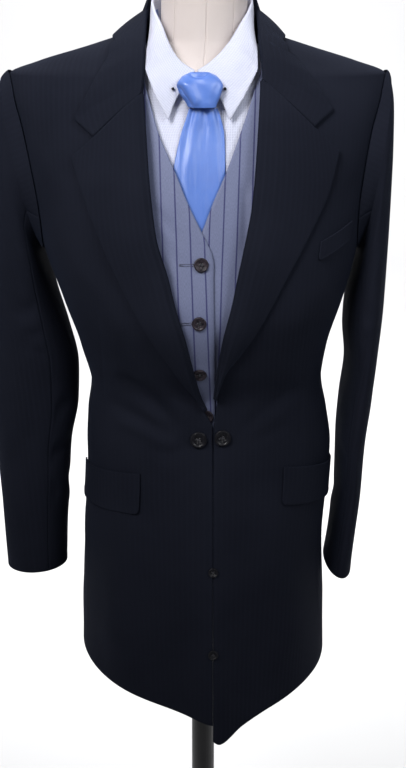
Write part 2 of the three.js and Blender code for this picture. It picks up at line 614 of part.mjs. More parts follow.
function buttons() {
  const clear = 0.5;
  const waistClear = 1.3; // the waist is hollow
  button("link_button_right", 9.5, 3.6, ...seat(COAT, -5, 951, waistClear));
  button("link_button_left", 9.5, 3.6, ...seat(COAT, 22, 953, waistClear));
  button("skirt_button_upper", 5.6, 2.6, ...seat(COAT, FRONT_EDGE_X, 804, clear));
  button("skirt_button_lower", 5.6, 2.6, ...seat(COAT, FRONT_EDGE_X, 711, clear));
  VEST_BUTTONS.forEach(({ x, z, out }, i) => {
    button(`vest_button_${i + 1}`, 7.8, 3, ...seat(FORM, x, z, vestOut(x, "right") + out));
  });
}

// How far the waistcoat stands off the form: more across the front, where the tie and then the
// other front lie under it.
const VEST_OUT = 9.2;
function vestOut(x, wearer) {
  const lift = { right: 6, left: 2.5 }[wearer];
  return VEST_OUT + lift / (1 + (x / 52) ** 4);
}

const TRUNK_ROWS = [880, 920, 955, 990, 1020, 1050, 1080, 1095, 1110, 1140]; // shared by all the layers
const VEST_ROWS = [...TRUNK_ROWS, 1153, 1170, 1195, 1225, 1262, 1300, 1325, 1341, 1351, 1360, 1369];
const VEST_ARMHOLE = [
  { z: 1140, reach: 0 },
  { z: 1153, reach: 7 },
  { z: 1170, reach: 17 },
  { z: 1195, reach: 29 },
  { z: 1225, reach: 39 },
  { z: 1300, reach: 45 },
  { z: 1325, reach: 41 },
  { z: 1341, reach: 31 },
  { z: 1351, reach: 16 },
  { z: 1357, reach: 0 },
];
const [ARM_LOW, ARM_HIGH] = [1140, 1357];

// Degrees from the side of the form that the waistcoat's armhole takes out at a height.
const vestArmhole = (z) => (z <= ARM_LOW || z >= ARM_HIGH ? 0 : smooth(VEST_ARMHOLE, "reach", z));

function vest() {
  for (const wearer of ["right", "left"]) {
    const sign = wearer === "left" ? 1 : -1;
    const rows = VEST_ROWS.map((z) => {
      const inner = degreesAt(FORM, smooth(VEST_EDGE, wearer, z), z);
      const outer = (90 - vestArmhole(z) - SEAM_DEGREES) * sign;
      return steps(6).map((t) => (out) => {
        const degrees = mix(inner, outer, t);
        return over(FORM, degrees, z, vestOut(skin(FORM, degrees, z).x, wearer) + out);
      });
    });
    add(`vest_front_${wearer}`, wall(rows, VEST_CLOTH), MATERIALS.vest);
  }
  const back = VEST_ROWS.map((z) => {
    const reach = 90 - vestArmhole(z) - SEAM_DEGREES;
    return steps(12).map((t) => (out) => over(FORM, mix(180 - reach, 180 + reach, t), z, VEST_OUT + out));
  });
  add("vest_back", wall(back, VEST_CLOTH), MATERIALS.vest);
}

const SHIRT_FRONT = -3; // degrees, where the two fronts meet under the tie

// The shirt's neckline: heights by degrees round from the middle of the front.
const NECKLINE = [
  { at: 0, height: 1340 },
  { at: 15, height: 1344 },
  { at: 31, height: 1360 },
  { at: 47, height: 1376 },
  { at: 67, height: 1388 },
  { at: 93, height: 1393 },
  { at: 180, height: 1394.5 },
];

// The shirt: two fronts and a back up to the collar band, with plain armholes.
function shirt() {
  const lie = 4.6;
  const neckline = (degrees) => smooth(NECKLINE, "height", Math.abs(degrees), "at");
  const rows = [...TRUNK_ROWS, 1175, 1215, 1255, 1290];
  const last = rows[rows.length - 1];
  const shares = [0.27, 0.43, 0.54, 0.64, 0.73, 0.82, 0.91, 1];
  const top = shares.map((share) => (neckline) => mix(last, neckline, share));
  const heights = [...rows.map((z) => () => z), ...top];
  const piece = (name, from, to, columns) => {
    const grid = heights.map((height) =>
      steps(columns).map((t) => (out) => {
        const degrees = mix(from, to, t);
        return over(FORM, degrees, height(neckline(Math.min(degrees, 360 - degrees))), lie + out);
      }),
    );
    add(name, wall(grid, SHIRT_CLOTH), MATERIALS.shirt);
  };
  piece("shirt_front_left", SHIRT_FRONT + SEAM_DEGREES, 90 - SEAM_DEGREES, 7);
  piece("shirt_front_right", -90 + SEAM_DEGREES, SHIRT_FRONT - SEAM_DEGREES, 7);
  piece("shirt_back", 90 + SEAM_DEGREES, 270 - SEAM_DEGREES, 14);
}

// The shirt's collar: the leaf with its two points, the band inside it, and the tie's loop between.
function shirtCollar() {
  const bulge = 4;
  const leaf = (sign) =>
    SHIRT_COLLAR.map((row) => {
      const fold = vec(row.fold_x * sign + row.shift, row.fold_y, row.fold_z);
      const edge = vec(row.leaf_x * sign + row.leaf_shift, row.leaf_y, row.leaf_z);
      const away = vec(edge.x, edge.y, 20).normalize();
      return [0, 0.12, 0.5, 1].map((t) =>
        fold.clone().lerp(edge, t).addScaledVector(away, bulge * t * (1 - t)),
      );
    });
  const whole = [...leaf(-1).slice(0, -1), ...leaf(1).reverse()];
  add("shirt_collar_leaf", wall(places(whole), SHIRT_CLOTH), MATERIALS.shirt);
  const hoop = (...ends) => (row, sign) =>
    ends.map(({ inset, at }) => {
      const share = 1 - inset / Math.hypot(row.fold_x, row.fold_y);
      const z = mix(row.band_z, row.fold_z - 0.6, at);
      return vec(row.fold_x * share * sign + row.shift, row.fold_y * share, z);
    });
  const band = bothSides(SHIRT_COLLAR, hoop({ inset: 3.35, at: 0 }, { inset: 1.6, at: 1 }));
  add("shirt_collar_band", wall(places(band), 0.8), MATERIALS.shirt);
  const loop = bothSides(SHIRT_COLLAR.slice(3), hoop({ inset: 1.7, at: 0.2 }, { inset: 1.05, at: 0.6 }));
  add("tie_loop", wall(places(loop), 0.8), MATERIALS.tie);
}

// The tie: a knot that narrows downwards, and the blade that widens below it under the waistcoat.
function tie() {
  const knot = [
    { z: 1354, half: 10, x: -3.5, y: -82.5, deep: 4 },
    { z: 1350, half: 18.5, x: -3.5, y: -85, deep: 6.5 },
    { z: 1341, half: 24.3, x: -3.3, y: -87.5, deep: 8 },
    { z: 1332, half: 21.5, x: -2.6, y: -89.5, deep: 8 },
    { z: 1324, half: 17, x: -1.3, y: -91, deep: 7 },
    { z: 1318.5, half: 14.6, x: -0.6, y: -92, deep: 5.5 },
  ];
  const around = 12;
  const points = knot.flatMap((row) =>
    steps(around - 1).map((_, i) => {
      const angle = (i / around) * 2 * Math.PI;
      const x = row.x + row.half * power(Math.cos(angle), 0.8);
      return vec(x, row.y + row.deep * power(Math.sin(angle), 0.8), row.z);
    }),
  );
  const index = [];
  for (let i = 0; i + 1 < knot.length; i += 1) {
    for (let j = 0; j < around; j += 1) {
      const [a, b] = [i * around + j, i * around + ((j + 1) % around)];
      index.push(a, b, b + around, a, b + around, a + around);
    }
  }
  const last = (knot.length - 1) * around;
  for (let j = 1; j + 1 < around; j += 1) {
    index.push(0, j + 1, j, last, last + j, last + j + 1);
  }
  add("tie_knot", facingOut(points, index), MATERIALS.tie);
  const blade = [
    { z: 1312, half: 14.8, x: 0.3, lift: 14.5 },
    { z: 1302, half: 18.5, x: 0.5, lift: 12 },
    { z: 1290, half: 22.5, x: -0.3, lift: 9.5 },
    { z: 1272, half: 25.5, x: -2, lift: 7.8 },
    { z: 1245, half: 28, x: -4, lift: 7.2 },
    { z: 1210, half: 29, x: -4, lift: 7 },
    { z: 1160, half: 31, x: -3, lift: 7 },
    { z: 1115, half: 34, x: -2, lift: 7 },
    { z: 1095, half: 24, x: -2, lift: 7 },
    { z: 1075, half: 3, x: -2, lift: 7 },
  ];
  const rows = blade.map((row) =>
    steps(6).map((t) => (out) => {
      const x = row.x + mix(-row.half, row.half, t);
      return over(FORM, degreesAt(FORM, x, row.z), row.z, row.lift + out);
    }),
  );
  add("tie_blade", wall(rows, TIE_CLOTH), MATERIALS.tie);
}

// A bar behind the knot that holds the collar's leaves, with a bead outside each leaf.
function collarBar() {
  const bar = { from: -30, to: 14, y: -76.4, z: 1337, radius: 0.8, bead: 1.7, beadY: -82.8 };
  const rod = new THREE.CylinderGeometry(bar.radius, bar.radius, bar.to - bar.from, 8).rotateZ(Math.PI / 2);
  add("collar_bar", rod, MATERIALS.metal).position.set((bar.from + bar.to) / 2, bar.y, bar.z);
  for (const [wearer, x] of [["right", -31.8], ["left", 23.2]]) {
    const bead = add(`collar_bar_end_${wearer}`, new THREE.SphereGeometry(bar.bead, 10, 8), MATERIALS.metal);
    bead.position.set(x, bar.beadY, bar.z);
  }
}

// The dress form: a hard torso with a neck, a cap on the neck, a pole and a round base.
function dressForm() {
  const heights = [
    FORM_BOTTOM_Z, 800, 840, ...TRUNK_ROWS, 1175, 1215, 1255, 1290,
    1312, 1330, 1342, 1351, 1358, 1365, 1373, 1386, 1430, FORM_TOP_Z,
  ];
  const around = 32;
  const points = [];
  for (const z of heights) {
    for (let j = 0; j < around; j += 1) points.push(skin(FORM, (j / around) * 360, z));
  }
  const index = [];
  for (let i = 0; i + 1 < heights.length; i += 1) {
    for (let j = 0; j < around; j += 1) {
      const [a, b] = [i * around + j, i * around + ((j + 1) % around)];
      index.push(a, b, b + around, a, b + around, a + around);
    }
  }
  const last = (heights.length - 1) * around;
  for (let j = 1; j + 1 < around; j += 1) {
    index.push(0, j + 1, j, last, last + j, last + j + 1);
  }
  add("form_torso", facingOut(points, index), MATERIALS.form);
  const capProfile = [[0, 0], [42, 0], [43, 2], [41, 5], [12, 8], [9, 22], [0, 25]];
  const cap = new THREE.LatheGeometry(capProfile.map(([r, h]) => new THREE.Vector2(r, h)), 28);
  const capMesh = add("form_neck_cap", cap, MATERIALS.metal);
  capMesh.rotation.x = Math.PI / 2;
  capMesh.position.set(-1, 2, FORM_TOP_Z + SEAM_GAP);
  const [baseTop, poleRadius] = [16, 15];
  const poleLength = FORM_BOTTOM_Z - baseTop - 2 * SEAM_GAP;
  const tube = new THREE.CylinderGeometry(poleRadius, poleRadius, poleLength, 24);
  const pole = add("stand_pole", tube, MATERIALS.metal);
  pole.rotation.x = Math.PI / 2;
  pole.position.set(0, 0, (FORM_BOTTOM_Z + baseTop) / 2);
  const baseProfile = [[0, 0], [200, 0], [205, 3], [203, 8], [190, 11], [60, 13], [24, baseTop], [0, baseTop]];
  const base = new THREE.LatheGeometry(baseProfile.map(([r, h]) => new THREE.Vector2(r, h)), 40);
  add("stand_base", base, MATERIALS.metal).rotation.x = Math.PI / 2;
}

for (const wearer of ["right", "left"]) {
  coatFront(wearer);
  coatSide(wearer);
  coatBack(wearer);
  lapel(wearer);
  sleeve(wearer);
}
coatCollar();
pockets();
buttons();
vest();
shirt();
shirtCollar();
tie();
collarBar();
dressForm();

export default suit;
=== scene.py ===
"""Looks of the saddle seat suit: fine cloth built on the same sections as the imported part.

Shapes are worked out in millimetres and made in metres. X runs to the wearer's left, the front
faces -Y, +Z is up. "right" and "left" in names are the wearer's.
"""

import math

import bmesh
import bpy
import numpy as np
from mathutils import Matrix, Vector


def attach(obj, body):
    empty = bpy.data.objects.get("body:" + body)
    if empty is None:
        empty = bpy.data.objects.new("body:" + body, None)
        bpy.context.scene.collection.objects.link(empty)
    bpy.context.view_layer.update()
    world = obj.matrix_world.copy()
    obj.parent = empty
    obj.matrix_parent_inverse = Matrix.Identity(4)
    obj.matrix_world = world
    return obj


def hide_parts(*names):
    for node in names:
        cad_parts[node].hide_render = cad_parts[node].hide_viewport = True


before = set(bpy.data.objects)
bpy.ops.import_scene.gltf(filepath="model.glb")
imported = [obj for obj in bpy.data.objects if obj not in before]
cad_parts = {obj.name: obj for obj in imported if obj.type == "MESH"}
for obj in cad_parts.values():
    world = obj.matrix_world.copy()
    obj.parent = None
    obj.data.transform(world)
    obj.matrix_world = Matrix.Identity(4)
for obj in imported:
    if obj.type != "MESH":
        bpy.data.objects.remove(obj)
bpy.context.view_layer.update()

# ---------------------------------------------------------------- camera and stage
scene = bpy.context.scene


def look_from(height_mm, distance_mm, pitch_degrees, lens_mm):
    data = bpy.data.cameras.new("view")
    data.lens = lens_mm
    data.sensor_width = 36
    camera = bpy.data.objects.new("view", data)
    camera.location = (0, -distance_mm / 1000, height_mm / 1000)
    camera.rotation_euler = (math.radians(90 - pitch_degrees), 0, 0)
    scene.collection.objects.link(camera)
    scene.camera = camera


look_from(height_mm=1455, distance_mm=1384.5, pitch_degrees=19, lens_mm=56.25)

# ---------------------------------------------------------------- sizes shared with the part
MM = 0.001
SIGN = {"right": -1, "left": 1}
COAT_CLOTH, SLEEVE_CLOTH, VEST_CLOTH, SHIRT_CLOTH, TIE_CLOTH = 2.0, 1.8, 1.6, 1.2, 1.4
COAT_COLLAR_CLOTH, SHIRT_COLLAR_CLOTH = 1.7, 1.0
SEAM_GAP = 0.3
FRONT_EDGE_X = 11.5
BREAK_Z = 984
HEM_Z = 630
HEM_BLEND = 130
NECK_Z = 1392
FORM_BOTTOM_Z = 760
FORM_TOP_Z = 1476
SIDE_FRONT, SIDE_BACK = 74, 106  # degrees of the side panel's two seams
# the armhole's middle and half width in degrees, its middle's height, its half height, its roundness
ARM_MIDDLE, ARM_REACH, ARM_Z, ARM_RISE, ARM_FULL = 90, 24, 1251, 96, 0.75
SEAM_DEGREES = 0.004  # from a panel's edge to its seam
PROW_WIDTH = 22  # of the ridge that the skirt's fronts make
MM_PER_DEGREE = 2.6  # round the coat's front, about
INNER_FOOT_Z = 880  # lower end of the waistcoat and the shirt
V_FOOT = 16  # how far below the roll's end the coat's V runs
STRIPE_START = 3.3  # from the coat's edges to its first stripe
SLEEVE_LAP = 0.02  # degrees that the sleeve's pieces lap at their seams
DART_X = {"right": -116, "left": 114}


class Table:
    """Rows of numbers under named columns; a column is read by a curve that never overshoots."""

    def __init__(self, names, rows):
        self.names = names.split()
        self.rows = np.array(rows, float)
        self.key = self.rows[:, 0]

    def column(self, name):
        return self.rows[:, self.names.index(name)]

    def at(self, name, key):
        key = np.asarray(key, float)
        value = self.column(name)
        step = np.diff(value) / np.diff(self.key)
        slope = np.empty(len(value))
        slope[0], slope[-1] = step[0], step[-1]
        before, after = step[:-1], step[1:]
        same = before * after > 0
        slope[1:-1] = np.where(same, 2 * before * after / np.where(same, before + after, 1), 0)
        k = np.clip(np.searchsorted(self.key, key) - 1, 0, len(value) - 2)
        width = self.key[k + 1] - self.key[k]
        t = np.clip((key - self.key[k]) / width, 0, 1)
        rise = t * t * (3 - 2 * t)
        curve = value[k] * (1 - rise) + value[k + 1] * rise
        curve = curve + slope[k] * t * (1 - t) ** 2 * width + slope[k + 1] * t * t * (t - 1) * width
        below, above = np.minimum(key - self.key[0], 0), np.maximum(key - self.key[-1], 0)
        return curve + slope[0] * below + slope[-1] * above


# sections: half width, depth in front and behind, shift to the left, ridge in front, roundness
COAT = Table("z half front back shift prow full", [
    (600, 157, 176, 196, 0, 33, 0.95),
    (630, 156, 172, 190, 0, 30, 0.95),
    (700, 153, 162, 178, 0, 22, 0.95),
    (780, 149.5, 150, 162, 0, 14, 0.95),
    (860, 149, 134, 142, 5, 6, 0.93),
    (910, 149.5, 122, 125, 7, 2, 0.92),
    (955, 145, 114, 104, 5, 0, 0.9),
    (990, 139, 113, 97, 4, 0, 0.88),
    (1040, 147, 134, 101, 1, 0, 0.87),
    (1100, 165, 153, 112, 0, 0, 0.86),
    (1160, 182, 149, 122, -3, 0, 0.86),
    (1225, 194, 134, 126, -5, 0, 0.86),
    (1290, 206, 112, 117, -6, 0, 0.88),
    (1325, 212, 93, 103, -6, 0, 0.92),
    (1347, 210, 77, 90, -6, 0, 0.96),
    (1360, 178, 67, 80, -6, 0, 1),
    (1375, 128, 58, 74, -5, 0, 1),
    (1392, 72, 50, 68, -4, 0, 1),
])
FORM = Table("z half front back shift prow full", [
    (760, 137, 110, 126, 0, 0, 0.94),
    (800, 139, 113, 129, 0, 0, 0.94),
    (860, 137, 109, 121, 4, 0, 0.93),
    (910, 132, 98, 103, 5, 0, 0.92),
    (955, 124, 91, 85, 4, 0, 0.9),
    (990, 120, 90, 77, 3, 0, 0.89),
    (1040, 127, 111.5, 81, 1, 0, 0.88),
    (1100, 144, 133, 93, 0, 0, 0.87),
    (1160, 157, 121, 103, -2, 0, 0.87),
    (1225, 166, 107, 107, -3, 0, 0.88),
    (1290, 173, 86, 98, -4, 0, 0.9),
    (1320, 172, 72, 85, -4, 0, 0.94),
    (1337, 164, 62, 75, -4, 0, 1),
    (1349, 145, 55, 66, -4, 0, 1),
    (1360, 103, 48, 57, -4, 0, 1),
    (1372, 62, 44.5, 49.5, -1, 0, 1),
    (1386, 48.5, 42.5, 46, 0.5, 0, 1),
    (1430, 47.5, 42, 45, 1.5, 0, 1),
    (1476, 47.5, 42, 45, 1.5, 0, 1),
])
# x of the fold of each lapel
ROLL = Table("z right left", [
    (984, 3, 12.5),
    (1000, -4, 14.5),
    (1040, -13.5, 18.5),
    (1080, -22, 24.5),
    (1115, -32, 33),
    (1150, -40.5, 40),
    (1185, -51, 47.5),
    (1215, -55.7, 53.5),
    (1250, -59.4, 57.5),
    (1300, -63, 61),
    (1340, -66, 63.5),
    (1366, -67.5, 64.5),
    (1392, -72, 66),
])
# how far the hem hangs below the level one at degrees from the front
HEM_LINE = {
    "right": Table("at drop", [(0, 0), (30, -6), (70, -12), (95, -10), (140, 0), (180, 0)]),
    "left": Table("at drop", [(3, 18), (7, 25), (16, 16), (32, 7), (60, 0), (180, 0)]),
}
LAPELS = {
    "right": Table("row roll_x roll_z edge_x edge_z", [
        (0, 2.5, 985, -3, 999),
        (1, -5, 1004, -17, 1015),
        (2, -14, 1041, -35, 1044),
        (3, -24, 1086, -57, 1081),
        (4, -38, 1142, -83, 1130),
        (5, -53, 1196, -106, 1178),
        (6, -60, 1262, -125, 1225),
        (7, -65.5, 1331.5, -139, 1267),
    ]),
    "left": Table("row roll_x roll_z edge_x edge_z", [
        (0, 14.5, 1000, 18, 1018),
        (1, 17, 1024, 25, 1038),
        (2, 21, 1055, 41, 1062),
        (3, 29, 1097, 66, 1103),
        (4, 41, 1153, 90, 1148),
        (5, 54, 1218, 115, 1193),
        (6, 59.5, 1275, 134, 1232),
        (7, 63.5, 1344, 145, 1272.5),
    ]),
}
COLLAR = Table("row shift roll_x roll_y roll_z edge_x edge_at edge_z", [
    (0, 1, 67, -84, 1343, 116, 0, 1296),
    (1, 1, 66, -77, 1354, 137, 0, 1313),
    (2, 0, 64.5, -66, 1370, 115, 0, 1347),
    (3, -1, 63.5, -50, 1386, 100, 0, 1366),
    (4, -1, 63.5, -30, 1399, 90, 56, 1381),
    (5, -1, 63.5, -3, 1411, 0, 92, 1387.5),
    (6, -1, 58, 33, 1418, 0, 128, 1378),
    (7, -1, 33.5, 60.5, 1421, 0, 155, 1372),
    (8, -1, 0, 69.5, 1422, 0, 180, 1370),
])
# what each side's end of the collar adds to the shared table
COLLAR_OWN = {
    "right": Table("row x y roll edge", [
        (0, 0, -6, -10, -7.5), (1, 0, -4, -7, -8), (2, 0, -1, -2, -3), (3, 0, 0, 0, 0), (8, 0, 0, 0, 0),
    ]),
    "left": Table("row x y roll edge", [
        (0, -4, 3.5, 3.1, 1.8), (1, -2, 1.5, 1.5, 1), (2, 0, 0, 0, 0), (3, 0, 0, 0, 0), (8, 0, 0, 0, 0),
    ]),
}
# rings down each sleeve: its inner and outer line, half its depth and the middle's y
SLEEVES = {
    "right": Table("row in_x in_z out_x out_z reach mid_y", [
        (1, -187, 1151, -226, 1342, 60, 0),
        (2, -188, 1142, -235, 1320, 61, 1),
        (3, -184, 1128, -243, 1288, 62, 2),
        (4, -178, 1112, -249, 1240, 62, 3),
        (5, -171, 1088, -253, 1176, 60, 4),
        (6, -160, 1052, -257, 1098, 56, 4),
        (7, -151, 1006, -258, 1022, 51, 4),
        (8, -153, 958, -257, 962, 47, 4),
        (9, -163, 905, -255.5, 905, 44, 6),
        (10, -168, 848, -254, 848, 41, 8),
        (11, -173, 790, -253, 790, 39, 10),
        (12, -175.6, 735, -252, 732, 37, 12),
    ]),
    "left": Table("row in_x in_z out_x out_z reach mid_y", [
        (1, 181, 1151, 209.5, 1342, 60, 0),
        (2, 182, 1142, 213.5, 1321, 62, 1),
        (3, 179, 1128, 215, 1288, 65, 3),
        (4, 175, 1112, 215.5, 1242, 68, 5),
        (5, 171, 1088, 216, 1176, 70, 7),
        (6, 169, 1052, 214.5, 1090, 70, 8),
        (7, 173, 1006, 210, 1020, 67, 9),
        (8, 168.5, 958, 205.5, 962, 64, 9),
        (9, 166, 905, 200.5, 905, 62, 9),
        (10, 166.5, 848, 198, 848, 60, 10),
        (11, 162.5, 790, 193.5, 790, 57, 11),
        (12, 156, 737, 190, 733, 55, 12),
    ]),
}
SLEEVE_FRONT_SEAM, SLEEVE_BACK_SEAM = 118, -98
VEST_EDGE = Table("z right left", [
    (880, 14, -12),
    (1040, 12.5, -11),
    (1140, 11, -11),
    (1155, 11.2, -10.5),
    (1166, 9.5, -9.5),
    (1178, 4.5, -6),
    (1190, -1.5, -1.2),
    (1220, -16.2, 10.5),
    (1250, -28.8, 24),
    (1288, -46, 38.7),
    (1323, -57, 51.6),
    (1351, -65.5, 61.5),
    (1381, -73, 70),
])
VEST_ARMHOLE = Table("z reach", [
    (1140, 0), (1153, 7), (1170, 17), (1195, 29), (1225, 39),
    (1300, 45), (1325, 41), (1341, 31), (1351, 16), (1357, 0),
])
VEST_OUT, SHIRT_OUT = 9.2, 4.6  # how far they stand off the form
VEST_LIFT = {"right": 6, "left": 2.5}
VEST_TOP_Z = 1369
VEST_BUTTONS = [(-1.8, 1155.5, 0.5), (-4, 1098, -0.6), (-3.5, 1038, -0.4), (4, 975, 0.5), (4, 913, 0.5)]
SHIRT_COLLAR = Table("row shift fold_x fold_y fold_z leaf_shift leaf_x leaf_y leaf_z band_z", [
    (0, -7.2, 1.3, -71, 1355, -4.5, 25.5, -83, 1324, 1342),
    (1, -7.5, 13.5, -69, 1362, -4.1, 32.6, -92, 1305, 1345),
    (2, -6.5, 23.5, -63.5, 1371, -3.2, 47.8, -85, 1331, 1352),
    (3, -4.5, 33.5, -55, 1384, -1.5, 60, -71, 1356, 1364),
    (4, -2.5, 43.5, -41, 1401, -1, 59.5, -52, 1376, 1380),
    (5, -1.5, 52.5, -22, 1415, -1.2, 57.2, -26, 1392, 1392),
    (6, -1, 56, 3, 1424, -1, 56.3, 4, 1398, 1396),
    (7, -1, 47.5, 31, 1429, -1, 49, 34, 1401, 1398),
    (8, -1, 25, 50, 1432, -1, 27, 54, 1401, 1398),
    (9, -1, 0, 56, 1433, -1, 0, 60, 1401, 1398),
])
TIE_BLADE = Table("row z half x lift", [
    (0, 1312, 14.8, 0.3, 14.5),
    (1, 1302, 18.5, 0.5, 12),
    (2, 1290, 22.5, -0.3, 9.5),
    (3, 1272, 25.5, -2, 7.8),
    (4, 1245, 28, -4, 7.2),
    (5, 1210, 29, -4, 7),
    (6, 1160, 31, -3, 7),
    (7, 1115, 34, -2, 7),
    (8, 1095, 24, -2, 7),
    (9, 1075, 3, -2, 7),
])
TIE_KNOT = Table("z half x y deep", [
    (1318.5, 14.6, -0.6, -92, 5.5),
    (1324, 17, -1.3, -91, 7),
    (1332, 21.5, -2.6, -89.5, 8),
    (1341, 24.3, -3.3, -87.5, 8),
    (1350, 18.5, -3.5, -85, 6.5),
    (1354, 10, -3.5, -82.5, 4),
])
NECKLINE = Table("at height", [
    (0, 1340), (15, 1344), (31, 1360), (47, 1376), (67, 1388), (93, 1393), (180, 1394.5),
])


# ---------------------------------------------------------------- surfaces
def power(v, e):
    """A power that keeps its sign."""
    return np.sign(v) * np.abs(v) ** e


def skin(table, degrees, z):
    """Points of a table's body at heights and degrees from the front round to the wearer's left."""
    degrees, z = np.broadcast_arrays(np.asarray(degrees, float), np.asarray(z, float))
    side, ahead = np.sin(np.radians(degrees)), np.cos(np.radians(degrees))
    full = table.at("full", z)
    x = table.at("shift", z) + table.at("half", z) * power(side, full)
    depth = np.where(ahead > 0, table.at("front", z), table.at("back", z))
    y = -depth * power(ahead, full)
    ridge = table.at("prow", z) / np.cosh((x - FRONT_EDGE_X) / PROW_WIDTH)
    y = y - np.where(ahead > 0, ridge * np.minimum(1, 2 * ahead), 0)
    return np.stack([x, y, z], -1)


def unit(v):
    return v / np.maximum(np.linalg.norm(v, axis=-1, keepdims=True), 1e-9)


def normal(table, degrees, z):
    turn, lift = 0.4, 1.5
    across = skin(table, degrees + turn, z) - skin(table, degrees - turn, z)
    upward = skin(table, degrees, z + lift) - skin(table, degrees, z - lift)
    return unit(np.cross(across, upward))


def surface(table, degrees, z, out=0.0):
    """Points of a table's body at a distance off it, and the normals there."""
    n = normal(table, degrees, z)
    return skin(table, degrees, z) + n * np.asarray(out)[..., None], n


def over(table, degrees, z, out):
    return surface(table, degrees, z, out)[0]


def degrees_at(table, x, z):
    """Degrees at which the front of a table's body has an x."""
    share = (np.asarray(x, float) - table.at("shift", z)) / table.at("half", z)
    side = power(np.clip(share, -1, 1), 1 / table.at("full", z))
    return np.degrees(np.arcsin(side))


def clear_of(table, points, need):
    """Points moved out, where they have to be, to stand at least so far off a surface."""
    z = points[..., 2]
    depth = np.where(points[..., 1] < 0, table.at("front", z), table.at("back", z))
    side = power((points[..., 0] - table.at("shift", z)) / table.at("half", z), 1 / table.at("full", z))
    ahead = power(-points[..., 1] / depth, 1 / table.at("full", z))
    degrees = np.degrees(np.arctan2(side, ahead))
    n = normal(table, degrees, z)
    stands = np.sum((points - skin(table, degrees, z)) * n, -1)
    return points + n * np.maximum(0, need - stands)[..., None]


def mix(a, b, t):
    return a + (b - a) * t


def spread(inner, outer, t, z):
    """Degrees from one edge to the other in each row, and the rows' heights, as grids."""
    degrees = mix(inner[:, None], outer[:, None], t[None, :])
    return degrees, z[:, None] + 0 * degrees


def smoothstep(t):
    t = np.clip(t, 0, 1)
    return t * t * (3 - 2 * t)


def arm_reach(z):
    """Half width of the coat's armhole at a height, in degrees."""
    share = np.minimum(1, np.abs(z - ARM_Z) / ARM_RISE) ** (1 / ARM_FULL)
    return ARM_REACH * np.sqrt(1 - share ** 2) ** ARM_FULL


def arm_bottom(degrees):
    """Height of the armhole's lower edge."""
    share = np.minimum(1, np.abs(degrees - ARM_MIDDLE) / ARM_REACH) ** (1 / ARM_FULL)
    return ARM_Z - ARM_RISE * np.sqrt(1 - share ** 2) ** ARM_FULL


SEAM_TOP = float(arm_bottom(np.array(SIDE_FRONT, float)))


def grid_normals(points, away):
    """Normals of a grid of points, on the side that the away vectors point to."""
    along = np.gradient(points, axis=0)
    across = np.gradient(points, axis=1)
    n = unit(np.cross(along, across))
    return n * (1 if np.sum(n * away) > 0 else -1)


# ---------------------------------------------------------------- folds
def waves(points, size, seed):
    """A soft unevenness from a few long waves. Each piece has a seed of its own, the same on every run."""
    rng = np.random.default_rng(seed)
    total = 0
    for _ in range(7):
        direction = rng.normal(size=3) * (1, 1, 0.6)
        direction /= np.linalg.norm(direction)
        length = rng.uniform(45, 160)
        total = total + np.sin(points @ direction * 2 * math.pi / length + rng.uniform(0, 6.28))
    return size * total / 4


def crease(a, b, start, end, depth, width, bend=0.0):
    """A soft trough or ridge from start to end in the plane (a, b), fading at both ends."""
    (a0, b0), (a1, b1) = start, end
    length = math.hypot(a1 - a0, b1 - b0)
    ua, ub = (a1 - a0) / length, (b1 - b0) / length
    t = ((a - a0) * ua + (b - b0) * ub) / length
    side = -(a - a0) * ub + (b - b0) * ua - bend * 4 * t * (1 - t)
    fade = smoothstep((t + 0.12) / 0.3) * smoothstep((1.12 - t) / 0.3)
    profile = np.exp(-((side / width) ** 2)) - 0.35 * np.exp(-(((side - 1.9 * width) / width) ** 2))
    return depth * fade * profile


# ---------------------------------------------------------------- meshes
def grid_faces(rows, columns, ring=False):
    """The four-sided faces of a grid of points, whose last column may join its first."""
    i, j = np.meshgrid(np.arange(rows - 1), np.arange(columns - (not ring)), indexing="ij")
    m = (j + 1) % columns
    near, far = i * columns, (i + 1) * columns
    return np.stack([near + j, near + m, far + m, far + j], -1).reshape(-1, 4)


def cloth(name, outer, normals, thickness, uv, material, shape):
    """A closed shell of cloth with softly rounded edges. shape is how far each point stands out of
    the outer face."""
    outer = outer + normals * shape[..., None]
    rows, columns = outer.shape[:2]
    thickness = np.broadcast_to(thickness, (rows, columns))[..., None]
    round_in = min(0.3 * float(thickness.max()), 0.6)
    face, back = outer.copy(), outer - normals * thickness
    middle = outer - normals * thickness / 2
    for layer in (face, back):
        for edge, inside in ((0, 1), (-1, -2)):
            for here, beside in ((edge, inside), ((slice(None), edge), (slice(None), inside))):
                layer[here] = layer[here] + unit(layer[beside] - layer[here]) * round_in
    border = [(0, j) for j in range(columns)] + [(i, columns - 1) for i in range(1, rows)]
    border += [(rows - 1, j) for j in range(columns - 2, -1, -1)] + [(i, 0) for i in range(rows - 2, 0, -1)]
    index = np.array([i * columns + j for i, j in border])
    after = np.roll(index, -1)
    count = rows * columns
    rim = 2 * count + np.arange(len(index))
    rim_after = np.roll(rim, -1)
    sheet = grid_faces(rows, columns)
    faces = np.concatenate([
        sheet, sheet[:, [0, 3, 2, 1]] + count, np.stack([after, index, rim, rim_after], -1),
        np.stack([rim_after, rim, index + count, after + count], -1),
    ])
    points = np.concatenate([face.reshape(-1, 3), back.reshape(-1, 3), middle.reshape(-1, 3)[index]])
    uv = uv.reshape(-1, 2)
    uv = np.concatenate([uv, uv, uv[index]])
    a, b, c, d = (points[faces[:, corner]] for corner in range(4))
    volume = np.sum(np.cross(a, b) * c) + np.sum(np.cross(a, c) * d)
    return mesh_object(name, points, faces if volume >= 0 else faces[:, ::-1], material, uv)


def linked(name, mesh, material):
    mesh.materials.append(material)
    mesh.update()
    thing = bpy.data.objects.new(name, mesh)
    scene.collection.objects.link(thing)
    return thing


